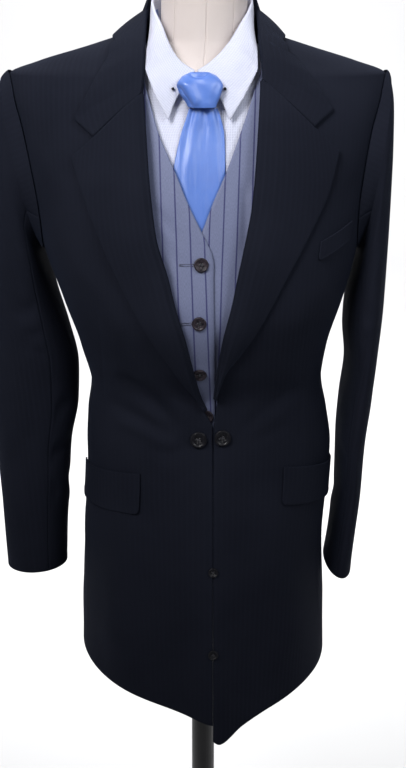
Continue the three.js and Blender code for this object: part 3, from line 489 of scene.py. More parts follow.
def mesh_object(name, points, faces, material, uv=None):
    mesh = bpy.data.meshes.new(name)
    mesh.from_pydata((np.asarray(points) * MM).tolist(), [], [list(map(int, f)) for f in faces])
    if uv is not None:
        layer = mesh.uv_layers.new(name="cloth")
        corners = np.empty(len(mesh.loops), np.int64)
        mesh.loops.foreach_get("vertex_index", corners)
        layer.data.foreach_set("uv", (np.asarray(uv)[corners] * MM).astype(np.float32).ravel())
    mesh.polygons.foreach_set("use_smooth", [True] * len(mesh.polygons))
    return linked(name, mesh, material)


def place(thing, slot, *nodes):
    """Fix a piece to the body and hide the nodes that it stands for. The slot is not used."""
    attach(thing, "root")
    if nodes:
        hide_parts(*nodes)
    return thing


def sew(slot, name, points, normals, thickness, uv, shape, *nodes, ending="cloth"):
    """A piece of cloth with its slot's look, in place of the node of its name or of the nodes named."""
    made = cloth(f"{name}_{ending}", points, normals, thickness, np.stack(uv, -1), LOOKS[slot], shape)
    place(made, slot, *(nodes or (name,)))


def arc(points, start_column=0):
    """Millimetres along each row of a grid from one of its columns."""
    step = np.linalg.norm(np.diff(points, axis=1), axis=-1)
    run = np.concatenate([np.zeros((len(points), 1)), np.cumsum(step, axis=1)], axis=1)
    return run - run[:, start_column:start_column + 1]


def girth(table, degrees, z, start_x=0.0):
    """Millimetres round the section at each row, from a place on the front, negative to the right."""
    turn = np.linspace(-190, 190, 381)
    run = arc(skin(table, turn[None, :], z[:, None]))
    start = degrees_at(table, start_x, z)
    rows = zip(degrees, start, run)
    return np.array([np.interp(here, turn, line) - np.interp(zero, turn, line) for here, zero, line in rows])


def run_down(points):
    """Millimetres along each column of a grid from its first row."""
    step = np.linalg.norm(np.diff(points, axis=0), axis=-1)
    return np.concatenate([np.zeros((1, points.shape[1])), np.cumsum(step, axis=0)], axis=0)


# ---------------------------------------------------------------- materials
class Shader:
    """A material's node tree, written as short calls."""

    def __init__(self, name):
        self.material = bpy.data.materials.new(name)
        self.material.use_nodes = True
        self.tree = self.material.node_tree
        self.out = self.tree.nodes["Principled BSDF"]
        coordinates = self.tree.nodes.new("ShaderNodeTexCoord")
        self.object = coordinates.outputs["Object"]
        split = self.tree.nodes.new("ShaderNodeSeparateXYZ")
        self.tree.links.new(coordinates.outputs["UV"], split.inputs[0])
        self.u = self.math("MULTIPLY", split.outputs["X"], 1000.0)
        self.v = self.math("MULTIPLY", split.outputs["Y"], 1000.0)

    def feed(self, socket, value):
        if isinstance(value, bpy.types.NodeSocket):
            self.tree.links.new(value, socket)
        else:
            socket.default_value = value

    def math(self, operation, a, b=None, c=None, clamp=False):
        node = self.tree.nodes.new("ShaderNodeMath")
        node.operation = operation
        node.use_clamp = clamp
        for socket, value in zip(node.inputs, (a, b, c)):
            if value is not None:
                self.feed(socket, value)
        return node.outputs[0]

    def wave(self, position, period, phase=0.0):
        """0 to 1 and back over a period."""
        turn = self.math("MULTIPLY_ADD", position, 2 * math.pi / period, phase)
        return self.math("MULTIPLY_ADD", self.math("SINE", turn), 0.5, 0.5)

    def band(self, position, period, width, soft=0.2, offset=0.0):
        """1 inside stripes of a width at a period, 0 between."""
        shifted = self.math("ADD", position, offset + 1000 * period)
        place = self.math("PINGPONG", shifted, period / 2)
        edge = self.math("SUBTRACT", width / 2 + soft / 2, place)
        return self.math("DIVIDE", edge, soft, clamp=True)

    def noise(self, scale, detail=2.0, rough=0.5, vector=None):
        node = self.tree.nodes.new("ShaderNodeTexNoise")
        self.feed(node.inputs["Vector"], vector or self.object)
        node.inputs["Scale"].default_value = scale
        node.inputs["Detail"].default_value = detail
        node.inputs["Roughness"].default_value = rough
        return node.outputs["Fac"]

    def yarns(self, across, along, detail=1.0):
        """Noise stretched by different scales over the cloth."""
        join = self.tree.nodes.new("ShaderNodeCombineXYZ")
        self.feed(join.inputs[0], self.math("MULTIPLY", self.u, across))
        self.feed(join.inputs[1], self.math("MULTIPLY", self.v, along))
        return self.noise(1.0, detail, vector=join.outputs[0])

    def ramp(self, factor, *stops):
        node = self.tree.nodes.new("ShaderNodeValToRGB")
        self.feed(node.inputs[0], factor)
        elements = node.color_ramp.elements
        while len(elements) < len(stops):
            elements.new(0.5)
        for element, (position, colour) in zip(elements, stops):
            element.position = position
            element.color = (*colour, 1)
        return node.outputs[0]

    def blend(self, factor, a, b):
        node = self.tree.nodes.new("ShaderNodeMix")
        node.data_type = "RGBA"
        self.feed(node.inputs[0], factor)
        for socket, value in ((node.inputs[6], a), (node.inputs[7], b)):
            self.feed(socket, value if isinstance(value, bpy.types.NodeSocket) else (*value, 1))
        return node.outputs[2]

    def bump(self, *layers):
        """Heights in millimetres, each with its own socket, stacked as one bump."""
        before = None
        for height, size in layers:
            node = self.tree.nodes.new("ShaderNodeBump")
            node.inputs["Distance"].default_value = size * MM
            node.inputs["Strength"].default_value = 1.0
            self.feed(node.inputs["Height"], height)
            if before is not None:
                self.tree.links.new(before, node.inputs["Normal"])
            before = node.outputs[0]
        self.tree.links.new(before, self.out.inputs["Normal"])

    def set(self, **values):
        names = {
            "colour": "Base Color", "rough": "Roughness", "metal": "Metallic", "sheen": "Sheen Weight",
            "sheen_rough": "Sheen Roughness", "sheen_tint": "Sheen Tint", "specular": "Specular IOR Level",
            "coat": "Coat Weight", "coat_rough": "Coat Roughness", "aniso": "Anisotropic",
        }
        for key, value in values.items():
            if key in ("colour", "sheen_tint") and not isinstance(value, bpy.types.NodeSocket):
                value = (*value, 1)
            self.feed(self.out.inputs[names[key]], value)
        return self.material


def coat_worsted(name):
    """Dark navy worsted: steep twill, and a shadow stripe where the twill runs the other way."""
    s = Shader(name)
    stripe = s.band(s.u, 6.6, 2.6, soft=0.5)
    direction = s.math("MULTIPLY_ADD", stripe, -2.0, 1.0)
    twill = s.wave(s.math("MULTIPLY_ADD", s.u, direction, s.math("MULTIPLY", s.v, 1.7)), 0.95)
    yarn = s.yarns(5.0, 1.2)
    cloudy = s.noise(14.0, 3.0)
    ground = s.ramp(cloudy, (0.3, (0.0086, 0.0099, 0.0162)), (0.7, (0.0122, 0.0138, 0.0222)))
    lighter = s.blend(s.math("MULTIPLY", stripe, 0.2), ground, (0.0162, 0.0184, 0.0305))
    worn = s.blend(s.math("MULTIPLY", twill, 0.3), lighter, (0.0142, 0.0166, 0.0275))
    colour = s.blend(s.math("MULTIPLY", yarn, 0.25), worn, (0.0100, 0.0118, 0.0190))
    s.bump((s.noise(60.0, 2.0), 0.25), (twill, 0.07), (yarn, 0.06))
    rough = s.math("MULTIPLY_ADD", yarn, 0.12, 0.82)
    return s.set(colour=colour, rough=rough, sheen=0.025, sheen_rough=0.4, sheen_tint=(0.4, 0.55, 1.0),
                 specular=0.03)


def vest_sharkskin(name):
    """Grey-blue sharkskin with dark indigo stripes along the grain."""
    s = Shader(name)
    speck = s.math("MULTIPLY", s.wave(s.u, 0.8), s.wave(s.v, 0.8))
    yarn = s.yarns(2.4, 0.35, 2.0)
    weft = s.yarns(0.25, 2.6, 1.0)
    ground = s.ramp(yarn, (0.3, (0.118, 0.134, 0.228)), (0.7, (0.174, 0.198, 0.325)))
    mottled = s.blend(s.math("MULTIPLY", weft, 0.4), ground, (0.196, 0.22, 0.345))
    fine = s.blend(s.math("MULTIPLY", speck, 0.3), mottled, (0.085, 0.095, 0.17))
    wander = s.math("MULTIPLY_ADD", s.yarns(0.0, 0.03), 0.5, s.u)
    stripe = s.band(wander, 14.4, 1.5, soft=0.45, offset=3.2)
    broken = s.math("MULTIPLY", stripe, s.math("MULTIPLY_ADD", s.yarns(0.6, 1.6), 0.5, 0.62), clamp=True)
    colour = s.blend(broken, fine, (0.026, 0.027, 0.115))
    s.bump((s.noise(45.0, 2.0), 0.3), (speck, 0.06), (stripe, 0.05), (weft, 0.05))
    return s.set(colour=colour, rough=s.math("MULTIPLY_ADD", yarn, 0.16, 0.5), sheen=0.08, sheen_rough=0.4,
                 sheen_tint=(0.8, 0.85, 1.0), specular=0.25)


def shirt_cotton(name):
    """White cotton with a fine self-coloured grid."""
    s = Shader(name)
    down, across = s.band(s.u, 2.6, 0.8, soft=0.4), s.band(s.v, 2.6, 0.7, soft=0.4)
    rib = s.math("MAXIMUM", down, s.math("MULTIPLY", across, 0.8))
    yarn = s.yarns(4.0, 4.0)
    base = s.ramp(s.noise(18.0, 2.0), (0.3, (0.50, 0.52, 0.65)), (0.7, (0.57, 0.59, 0.73)))
    colour = s.blend(s.math("MULTIPLY", rib, 0.6), base, (0.69, 0.71, 0.83))
    s.bump((s.noise(55.0, 2.0), 0.35), (rib, 0.22), (yarn, 0.05))
    return s.set(colour=colour, rough=s.math("MULTIPLY_ADD", rib, -0.12, 0.72), sheen=0.12, specular=0.35)


def tie_satin(name, fold):
    """Light blue satin: long floats across a fine diagonal, smooth and bright."""
    s = Shader(name)
    floats = s.wave(s.math("ADD", s.u, s.math("MULTIPLY", s.v, 0.55)), 0.7)
    slub = s.yarns(0.5, 3.0, 2.0)
    base = s.ramp(s.noise(30.0, 2.0), (0.3, (0.072, 0.155, 0.50)), (0.7, (0.095, 0.195, 0.58)))
    colour = s.blend(s.math("MULTIPLY", slub, 0.3), base, (0.145, 0.275, 0.72))
    s.bump((s.yarns(0.11, 0.014, 1.0), fold), (s.yarns(0.3, 0.03, 1.0), fold * 0.25), (floats, 0.03),
           (slub, 0.04))
    return s.set(colour=colour, rough=s.math("MULTIPLY_ADD", slub, 0.1, 0.29), sheen=0.22, sheen_rough=0.3,
                 sheen_tint=(0.6, 0.75, 1.0), specular=0.6, aniso=0.5)


def form_linen(name):
    """Cream linen stretched over the form: plain weave with thicker threads here and there."""
    s = Shader(name)
    over_under = s.math("MULTIPLY", s.wave(s.u, 0.9), s.wave(s.v, 0.9))
    slub = s.math("MAXIMUM", s.yarns(2.2, 0.08, 1.0), s.yarns(0.08, 2.2, 1.0))
    base = s.ramp(s.noise(9.0, 4.0), (0.3, (0.58, 0.515, 0.50)), (0.72, (0.66, 0.595, 0.585)))
    colour = s.blend(s.math("MULTIPLY", slub, 0.35), base, (0.50, 0.44, 0.39))
    s.bump((over_under, 0.1), (slub, 0.1), (s.noise(30.0), 0.3))
    return s.set(colour=colour, rough=0.82, sheen=0.15, specular=0.25)


def horn(name, dark, brown):
    """Marbled button material."""
    s = Shader(name)
    swirl = s.noise(260.0, 4.0, 0.6)
    colour = s.ramp(swirl, (0.36, dark), (0.55, brown), (0.7, dark))
    s.bump((s.noise(900.0, 2.0), 0.05))
    return s.set(colour=colour, rough=s.math("MULTIPLY_ADD", swirl, 0.18, 0.3), coat=0.06, coat_rough=0.2,
                 specular=0.22)


def metal(name, colour_low, colour_high, metallic, rough):
    s = Shader(name)
    grain = s.noise(700.0, 2.0)
    colour = s.ramp(s.noise(25.0, 4.0), (0.3, colour_low), (0.7, colour_high))
    s.bump((grain, 0.06))
    rough = s.math("MULTIPLY_ADD", grain, 0.15, rough)
    return s.set(colour=colour, metal=metallic, rough=rough, specular=0.5)


def thread(name, colour_low, colour_high):
    s = Shader(name)
    twist = s.noise(1800.0, 1.0)
    colour = s.ramp(twist, (0.35, colour_low), (0.65, colour_high))
    s.bump((twist, 0.1))
    return s.set(colour=colour, rough=0.7, sheen=0.3, specular=0.3)


LOOKS = {name: make(name, *values) for name, make, *values in (
    ("coat_cloth", coat_worsted),
    ("vest_cloth", vest_sharkskin),
    ("shirt_cloth", shirt_cotton),
    ("tie_satin", tie_satin, 1.0),
    ("tie_knot_satin", tie_satin, 0.25),
    ("form_linen", form_linen),
    ("coat_button", horn, (0.003, 0.003, 0.005), (0.008, 0.008, 0.012)),
    ("vest_button", horn, (0.007, 0.006, 0.010), (0.036, 0.028, 0.036)),
    ("collar_bar", metal, (0.02, 0.02, 0.025), (0.05, 0.05, 0.06), 0.8, 0.3),
    ("stand_metal", metal, (0.012, 0.012, 0.013), (0.022, 0.022, 0.024), 0.0, 0.38),
    ("dark_thread", thread, (0.01, 0.01, 0.016), (0.03, 0.03, 0.04)),
    ("vest_thread", thread, (0.05, 0.055, 0.10), (0.12, 0.13, 0.2)),
)}


# ---------------------------------------------------------------- coat
def coat_points(wearer, degrees, z):
    """Points and normals of the coat, whose hem's line fades out upwards."""
    fade = np.maximum(0, 1 - (z - HEM_Z) / HEM_BLEND)
    drop = HEM_LINE[wearer].at("drop", degrees) * fade
    return surface(COAT, degrees * SIGN[wearer], z - drop)


def coat_rows():
    """Heights of a body panel's rows, closer together where the armhole turns."""
    low = np.linspace(HEM_Z, SEAM_TOP, 116)
    arm = ARM_Z - (ARM_Z - SEAM_TOP) * np.cos(np.linspace(0, math.pi / 2, 20)[1:])
    high = ARM_Z + ARM_RISE * np.sin(np.linspace(0, math.pi / 2, 34)[1:])
    top = np.linspace(ARM_Z + ARM_RISE, NECK_Z, 22)[1:]
    return np.concatenate([low, arm, high, top])


FRONT_CREASES = {
    # start and end as (x, z), depth, width, bend
    "right": [
        ((-92, 1022), (-30, 958), -3.4, 9, 5),
        ((-112, 985), (-38, 950), -2.6, 8, 4),
        ((-98, 962), (-30, 940), 2.0, 7, 3),
        ((-80, 1062), (-26, 985), 2.2, 10, -4),
        ((-128, 1130), (-118, 1020), -1.5, 13, 3),
        ((-150, 1195), (-95, 1120), -1.6, 16, 6),
        ((-60, 930), (-14, 944), -1.3, 8, -2),
        ((-96, 880), (-112, 690), 3.2, 18, 6),
        ((-48, 860), (-60, 665), -2.6, 20, -5),
        ((-134, 820), (-138, 650), -1.5, 16, 3),
        ((-188, 1262), (-172, 1190), -1.4, 12, 4),
    ],
    "left": [
        ((112, 1005), (42, 956), -1.8, 9, -5),
        ((96, 960), (48, 944), -1.2, 8, -2),
        ((130, 1110), (118, 1010), -1.3, 13, -3),
        ((88, 880), (104, 680), 2.0, 24, -6),
        ((50, 850), (58, 660), -1.5, 20, 5),
        ((134, 820), (138, 650), -1.4, 15, -3),
        ((168, 1245), (150, 1180), -1.2, 12, -4),
    ],
}


def folds_on(points, creases, axes=(0, 2)):
    a, b = points[..., axes[0]], points[..., axes[1]]
    total = np.zeros(a.shape)
    for start, end, depth, width, bend in creases:
        total += crease(a, b, start, end, depth, width, bend)
    return total


def edge_fade(shape, rows=4, columns=4):
    """1 inside a panel and 0 along its edges, so that seams stay where they are."""
    i = np.minimum(np.arange(shape[0]), np.arange(shape[0])[::-1]) / rows
    j = np.minimum(np.arange(shape[1]), np.arange(shape[1])[::-1]) / columns
    return smoothstep(i)[:, None] * smoothstep(j)[None, :]


def coat_front(wearer):
    """A front from its edge and roll to the side seam and armhole, with its dart."""
    sign = SIGN[wearer]
    z = coat_rows()
    # the edges meet at the hem, stand a little apart at the link and open into the roll above it
    apart = 0.4 * smoothstep((z - 893) / 62) + 0.3 * smoothstep((z - 953) / 20)
    closed = FRONT_EDGE_X + sign * (0.03 + apart)
    fold = ROLL.at(wearer, np.maximum(z, BREAK_Z)) + sign * 2.0
    edge = mix(closed, fold, np.clip((z - BREAK_Z + V_FOOT) / V_FOOT, 0, 1))
    inner = degrees_at(COAT, edge, z) * sign
    outer = np.where(z <= SEAM_TOP + 1e-6, SIDE_FRONT, ARM_MIDDLE - arm_reach(z)) - SEAM_DEGREES
    degrees, zz = spread(inner, outer, np.linspace(0, 1, 64) ** 1.15, z)
    points, n = coat_points(wearer, degrees, zz)
    shape = folds_on(points, FRONT_CREASES[wearer]) + waves(points, 0.5, 11 + sign)
    # a dart runs down each front, from the chest to the pocket
    dart = np.exp(-(((points[..., 0] - DART_X[wearer]) / 1.1) ** 2))
    shape -= 0.9 * dart * smoothstep((1120 - z) / 40)[:, None] * smoothstep((z - 925) / 30)[:, None]
    uv = girth(COAT, degrees * sign, z, FRONT_EDGE_X) + STRIPE_START, zz
    sew("coat_cloth", f"coat_front_{wearer}", points, n, COAT_CLOTH, uv, shape * edge_fade(shape.shape))


SIDE_CREASES = [
    ((-30, 1100), (30, 1020), -1.4, 12, 4),
    ((20, 1060), (-20, 985), -1.2, 9, -3),
    ((5, 860), (-8, 680), 1.2, 14, 3),
]


def coat_side(wearer):
    t = np.linspace(0, 1, 30)
    inside = mix(SIDE_FRONT + SEAM_DEGREES, SIDE_BACK - SEAM_DEGREES, t)
    top = arm_bottom(mix(SIDE_FRONT, SIDE_BACK, t))
    z = mix(HEM_Z, top[None, :], np.linspace(0, 1, 118)[:, None])
    points, n = coat_points(wearer, inside[None, :] + 0 * z, z)
    shape = folds_on(points, SIDE_CREASES, (1, 2)) + waves(points, 0.5, 21 + SIGN[wearer])
    shape *= edge_fade(z.shape)
    sew("coat_cloth", f"coat_side_{wearer}", points, n, COAT_CLOTH, (arc(points), z), shape)


BACK_CREASES = [
    ((140, 1200), (80, 1120), -1.8, 14, 5),
    ((120, 1085), (50, 1030), -1.6, 11, 4),
    ((105, 1010), (25, 985), -1.9, 8, 3),
    ((95, 975), (30, 968), -1.5, 7, -2),
    ((88, 880), (102, 660), 2.4, 22, -6),
    ((40, 870), (46, 650), -1.9, 20, 4),
    ((130, 1300), (60, 1275), -1.1, 13, 6),
]


def coat_back(wearer):
    sign = SIGN[wearer]
    z = coat_rows()
    outer = np.where(z <= SEAM_TOP + 1e-6, SIDE_BACK, ARM_MIDDLE + arm_reach(z)) + SEAM_DEGREES
    middle = 180 - degrees_at(COAT, COAT.at("shift", z) + SEAM_GAP / 2, z)
    degrees, zz = spread(middle, outer, np.linspace(0, 1, 60), z)
    points, n = coat_points(wearer, degrees, zz)
    uneven = {"right": 0.8, "left": 1.0}[wearer]
    folds = folds_on(points * (sign, 1, 1) + (0, 0, 9 * (uneven - 0.9)), BACK_CREASES)
    shape = (uneven * folds + waves(points, 0.6, 31 + sign)) * edge_fade(zz.shape)
    sew("coat_cloth", f"coat_back_{wearer}", points, n, COAT_CLOTH, (arc(points) + STRIPE_START, zz), shape)


def lapel(wearer):
    """The lapel rolls out of the front's edge in a soft round and lies on the chest."""
    sign = SIGN[wearer]
    row = np.linspace(0, 7, 130)
    read = lambda name: LAPELS[wearer].at(name, row)[:, None]
    roll_z = read("roll_z")
    roll_x = ROLL.at(wearer, np.clip(roll_z, BREAK_Z, NECK_Z)) - sign * 0.4
    # first the turn under the roll, then the face of the lapel
    turn = np.linspace(0, 1, 12)[:-1]
    face = np.linspace(0, 1, 48)
    radius = 2.9
    bow = np.sin(math.pi * (row / 7))[:, None]
    x_face = mix(roll_x, read("edge_x"), face[None, :])
    z_face = mix(roll_z, read("edge_z"), face[None, :])
    lift = np.interp(face, [0, 0.08, 0.25, 0.5, 0.75, 1], [3.2, 6.0, 7.4, 6.6, 5.2, 4.2])[None, :]
    lift = lift + 1.4 * bow * np.sin(math.pi * face)[None, :]
    outer_face = over(COAT, degrees_at(COAT, x_face, z_face), z_face, lift)
    first = outer_face[:, 0:1]
    n_roll = normal(COAT, degrees_at(COAT, roll_x, roll_z), roll_z)
    inward = unit(np.cross(n_roll, unit(np.gradient(first[:, 0], axis=0))[:, None]))
    inward = inward * np.where(np.sum(inward * (-sign, 0, 0), -1, keepdims=True) > 0, 1, -1)
    angle = (1 - turn)[None, :, None] * math.radians(150)
    under = first - n_roll * (radius * (1 - np.cos(angle))) + inward * (radius * np.sin(angle) * 0.9)
    outer = np.concatenate([under, outer_face], axis=1)
    n = grid_normals(outer, n_roll)
    shape = waves(outer, 0.25, 41 + sign) * edge_fade(outer.shape[:2], 6, 8)
    uv = arc(outer, len(turn)), -run_down(outer)
    sew("coat_cloth", f"lapel_{wearer}", outer, n, COAT_CLOTH - 0.4, uv, shape)


def both_sides(count):
    """Row positions of a half table from the wearer's right round to the left, with their signs."""
    half = np.linspace(0, 1, count)
    return np.concatenate([half, half[::-1][1:]]), np.concatenate([-np.ones(count), np.ones(count - 1)])


def bowed(start, end, away, bow):
    """A grid from one line of points to another, bowed outwards between them."""
    t = np.linspace(0, 1, 26)[None, :, None]
    return start[:, None] * (1 - t) + end[:, None] * t + away[:, None] * (bow * t * (1 - t))


def rising(foot, top):
    """A straight grid from one line of points up to another."""
    s = np.linspace(1, 0, 12)[None, :, None]
    return top[:, None] * (1 - s) + foot[:, None] * s


def collar_normals(outer, outward, fall_from):
    """Normals of a folded collar, turned so that those of its fall point outwards."""
    n = grid_normals(outer, outward)
    fall = grid_normals(outer[:, fall_from:], outward)
    column = 20
    return n * np.sign(np.sum(n[:, column] * fall[:, column - fall_from]))


def coat_collar():
    """The stand rises from the neckline, rolls over and falls on to the shoulders."""
    share, sign = both_sides(90)
    row = share * 8
    read = lambda name: COLLAR.at(name, row)
    line = lambda table, name: np.interp(row, table.key, table.column(name))
    own = lambda name: np.where(sign < 0, *(line(COLLAR_OWN[w], name) for w in ("right", "left")))
    shift = read("shift")
    roll_x = (read("roll_x") + own("x")) * sign + shift
    roll = np.stack([roll_x, read("roll_y") + own("y"), read("roll_z") + own("roll")], -1)
    # the edge is placed by x in front and by degrees from the shoulder round the back
    edge_z = line(COLLAR, "edge_z") + own("edge")
    edge_x = np.interp(row, COLLAR.key[:5], COLLAR.column("edge_x")[:5])
    by_x = degrees_at(COAT, edge_x * sign + shift, edge_z)
    first = np.abs(by_x[np.argmin(np.abs(row - 3.0))])
    by_turn = np.interp(row, COLLAR.key[3:], [first, *COLLAR.column("edge_at")[4:]]) * sign
    edge_degrees = np.where(row <= 3, by_x, by_turn)
    lift, least = 4.4, 2.4  # of the edge off the coat, and of the whole fall
    edge = over(COAT, edge_degrees, edge_z, lift)
    away = unit(over(COAT, edge_degrees, edge_z, lift + 1) - edge)
    fall = clear_of(COAT, bowed(roll, edge, away, 7), least)
    # the fold: down inside to the stand's foot, or to a short turn under at the fronts
    length = np.hypot(read("roll_x"), read("roll_y"))
    foot_degrees = np.degrees(np.arctan2(read("roll_x") * sign, -read("roll_y")))
    foot = over(COAT, foot_degrees, np.full(len(row), float(NECK_Z)), -1.0)
    foot[:, 2] = NECK_Z + 0.6
    centre = np.stack([shift, 0 * shift, 0 * shift], -1)
    inside = roll - (roll - centre) * (3.4 / length)[:, None] * (1, 1, 0) - (0, 0, 4.5)
    short = inside - (0, 0, 6)
    has_stand = smoothstep((row - 3.4) / 0.9)[:, None]
    stand = rising(short * (1 - has_stand) + foot * has_stand, inside)
    crown = [mix(inside[:, None], roll[:, None], part) + (0, 0, rise)
             for part, rise in ((0.2, 1.6), (0.5, 2.2), (0.83, 1.4))]
    outer = np.concatenate([stand, *crown, fall], axis=1)
    n = collar_normals(outer, np.stack([roll[:, 0] - shift, roll[:, 1], 20 + 0 * shift], -1)[:, None], 15)
    shape = waves(outer, 0.2, 51) * edge_fade(outer.shape[:2], 6, 6)
    uv = arc(outer), -run_down(outer)
    sew("coat_cloth", "coat_collar", outer, n, COAT_COLLAR_CLOTH, uv, shape,
        "coat_collar_fall", "coat_collar_stand")


def sleeve(wearer):
    """Two pieces that run from the armhole's line, over a rounded head, down to the cuff."""
    sign = SIGN[wearer]
    rows = np.concatenate([np.linspace(0, 1, 16)[:-1], np.linspace(1, 12, 120)])

    def head(degrees):
        c, s = np.cos(np.radians(degrees)), np.sin(np.radians(degrees))
        lap, clear = 1.03, 1.3
        angle = ARM_MIDDLE - ARM_REACH * lap * power(s, ARM_FULL)
        z = ARM_Z + ARM_RISE * lap * power(c, ARM_FULL)
        top = np.minimum(z, ARM_Z + ARM_RISE)
        points = over(COAT, angle * sign, top, clear)
        return points + np.stack([sign * (z - top) * 0.3, 0 * z, z - top], -1)

    def ring(position, degrees):
        c, s = np.cos(np.radians(degrees)), np.sin(np.radians(degrees))
        read = lambda name: SLEEVES[wearer].at(name, position)
        between = lambda inner, outer: (inner + outer) / 2 + (outer - inner) / 2 * c
        x, z = (between(read(f"in_{axis}"), read(f"out_{axis}")) for axis in "xz")
        return np.stack([x, read("mid_y") - read("reach") * s, z], -1)

    middle = np.array([ring(max(r, 1.0), np.array([0.0, 90, 180, 270])).mean(axis=0) for r in rows])[:, None]
    for piece, start, end, columns in (
        ("top", SLEEVE_BACK_SEAM, SLEEVE_FRONT_SEAM, 76),
        ("under", SLEEVE_FRONT_SEAM, SLEEVE_BACK_SEAM + 360, 50),
    ):
        degrees = np.linspace(start - SLEEVE_LAP, end + SLEEVE_LAP, columns)
        puff = sign * 1.3 * np.maximum(0, np.cos(np.radians(degrees)))
        grid = []
        for r in rows:
            grid.append(ring(max(r, 1.0), degrees))
            if r < 1:
                grid[-1] = mix(head(degrees), grid[-1], smoothstep(r))
                grid[-1][:, 0] += math.sin(math.pi * r) * puff
        points = np.array(grid)
        n = grid_normals(points, points - middle)
        a = degrees[None, :] + 0 * points[..., 0]
        run = run_down(points)[:, columns // 2][:, None] + 0 * a
        shape = np.zeros(a.shape)
        for at, down, turn, drop, depth, width in SLEEVE_CREASES:
            where = at + (360 if at < start else 0)
            ends = (where * 0.9, down), ((where + turn) * 0.9, down + drop)
            shape += crease(a * 0.9, run, *ends, depth, width, 4)
        shape = shape * {"right": 1.0, "left": 0.6}[wearer] + waves(points, 0.55, 61 + sign)
        shape *= edge_fade(shape.shape, 5, 4)
        thin = mix(0.8, SLEEVE_CLOTH, smoothstep(rows / 1.2))[:, None]
        uv = arc(points, columns // 2), -run_down(points)
        sew("coat_cloth", f"sleeve_{piece}_{wearer}", points, n, thin, uv, shape)


# degrees round the sleeve, distance down it, turn, drop, depth, width
SLEEVE_CREASES = [
    (150, 200, -70, 60, -2.2, 11),
    (165, 262, -80, 30, -2.4, 9),
    (140, 330, -60, -30, -2.0, 10),
    (175, 310, 60, 40, -2.0, 9),
    (60, 60, 40, 120, -1.6, 14),
    (-60, 90, -30, 130, -1.6, 14),
    (100, 420, -40, 60, -1.2, 12),
    (-80, 300, 60, 40, -1.6, 12),
    (20, 380, -30, 140, 1.3, 18),
    (200, 420, -40, 90, -1.4, 12),
]


def patch(name, start, end, top, bottom, lift):
    """A flap or welt on the coat, from degrees and heights, with two rounded corners."""
    t = np.linspace(0, 1, 70)
    v = np.linspace(0, 1, 26)
    degrees = mix(start, end, t)[None, :] + 0 * v[:, None]
    z = mix(top(t)[None, :], bottom(t)[None, :], v[:, None])
    corner = 6.0
    along = np.abs(mix(start, end, t) - start) * MM_PER_DEGREE
    cut = np.maximum(0, corner - np.minimum(along, along[::-1]))
    rise = corner - np.sqrt(np.maximum(0, corner ** 2 - cut ** 2))
    z = z + rise[None, :] * smoothstep(v)[:, None] ** 3 * 0.8
    outer, n = surface(COAT, degrees, z, lift(v[:, None]) + 0 * z)
    stitch = 0.35 * np.exp(-(((v - 0.93) / 0.05) ** 2))[:, None]
    sew("coat_cloth", name, outer, n, COAT_CLOTH, (arc(outer), z), stitch + waves(outer, 0.15, 71))


def pockets():
    lay = COAT_CLOTH + 0.5
    for name, start, end, top, slope, height, stand_off in (
        ("pocket_flap_right", -30, -84, 906, -17, 47, 0.9),
        ("pocket_flap_left", 33, 93, 913, -27, 45, 0.9),
        ("breast_welt_left", 41, 60, 1180, 16, 22, 0),
    ):
        patch(name, start, end, lambda t: top + slope * t, lambda t: top + slope * t - height,
              lambda v: lay + stand_off * v)


# ---------------------------------------------------------------- waistcoat
def vest_out(x, wearer):
    """How far a waistcoat front stands off the form, more in the middle where the two lap."""
    return VEST_OUT + VEST_LIFT[wearer] / (1 + (x / 52) ** 4)


def vest_arm(z):
    low, high = VEST_ARMHOLE.key[[0, -1]]
    return np.where((z <= low) | (z >= high), 0, VEST_ARMHOLE.at("reach", z))


VEST_CREASES = {
    "right": [
        ((-30, 1215), (-46, 1130), -1.4, 8, 4),
        ((-54, 1218), (-32, 1188), -1.0, 5, 2),
        ((-52, 1192), (-30, 1160), -0.9, 5, 2),
        ((-44, 1120), (-12, 1060), -1.2, 8, 3),
        ((-40, 1075), (-8, 1030), 1.0, 7, -2),
    ],
    "left": [
        ((44, 1240), (47, 1165), -1.9, 5, 0),
        ((52, 1236), (53, 1168), 1.3, 3.5, 0),
        ((38, 1150), (26, 1090), -1.0, 7, -3),
        ((40, 1110), (14, 1050), -1.1, 8, -3),
    ],
}


def vest_rows(below, above):
    """Heights of the waistcoat's rows, so many below the armhole and above its lowest point."""
    arm = VEST_ARMHOLE.key[0]
    return np.concatenate([np.linspace(INNER_FOOT_Z, arm, below), np.linspace(arm, VEST_TOP_Z, above)[1:]])


def vest_front(wearer):
    sign = SIGN[wearer]
    z = vest_rows(66, 84)
    inner = degrees_at(FORM, VEST_EDGE.at(wearer, z), z)
    outer = (90 - vest_arm(z) - SEAM_DEGREES) * sign
    degrees, zz = spread(inner, outer, np.linspace(0, 1, 56), z)
    x = skin(FORM, degrees, zz)[..., 0]
    points, n = surface(FORM, degrees, zz, vest_out(x, wearer))
    shape = (folds_on(points, VEST_CREASES[wearer]) + waves(points, 0.35, 81 + sign)) * edge_fade(zz.shape)
    grain = {"right": -3.3, "left": 2.7}[wearer] + sign * 0.035 * (1230 - zz)
    uv = girth(FORM, degrees, z) + grain, zz
    sew("vest_cloth", f"vest_front_{wearer}", points, n, VEST_CLOTH, uv, shape)


def vest_back():
    z = vest_rows(50, 64)
    reach = 90 - vest_arm(z) - SEAM_DEGREES
    degrees, zz = spread(180 - reach, 180 + reach, np.linspace(0, 1, 80), z)
    points, n = surface(FORM, degrees, zz, VEST_OUT)
    shape = waves(points, 0.5, 91) * edge_fade(zz.shape)
    sew("vest_cloth", "vest_back", points, n, VEST_CLOTH, (arc(points, 40), zz), shape)


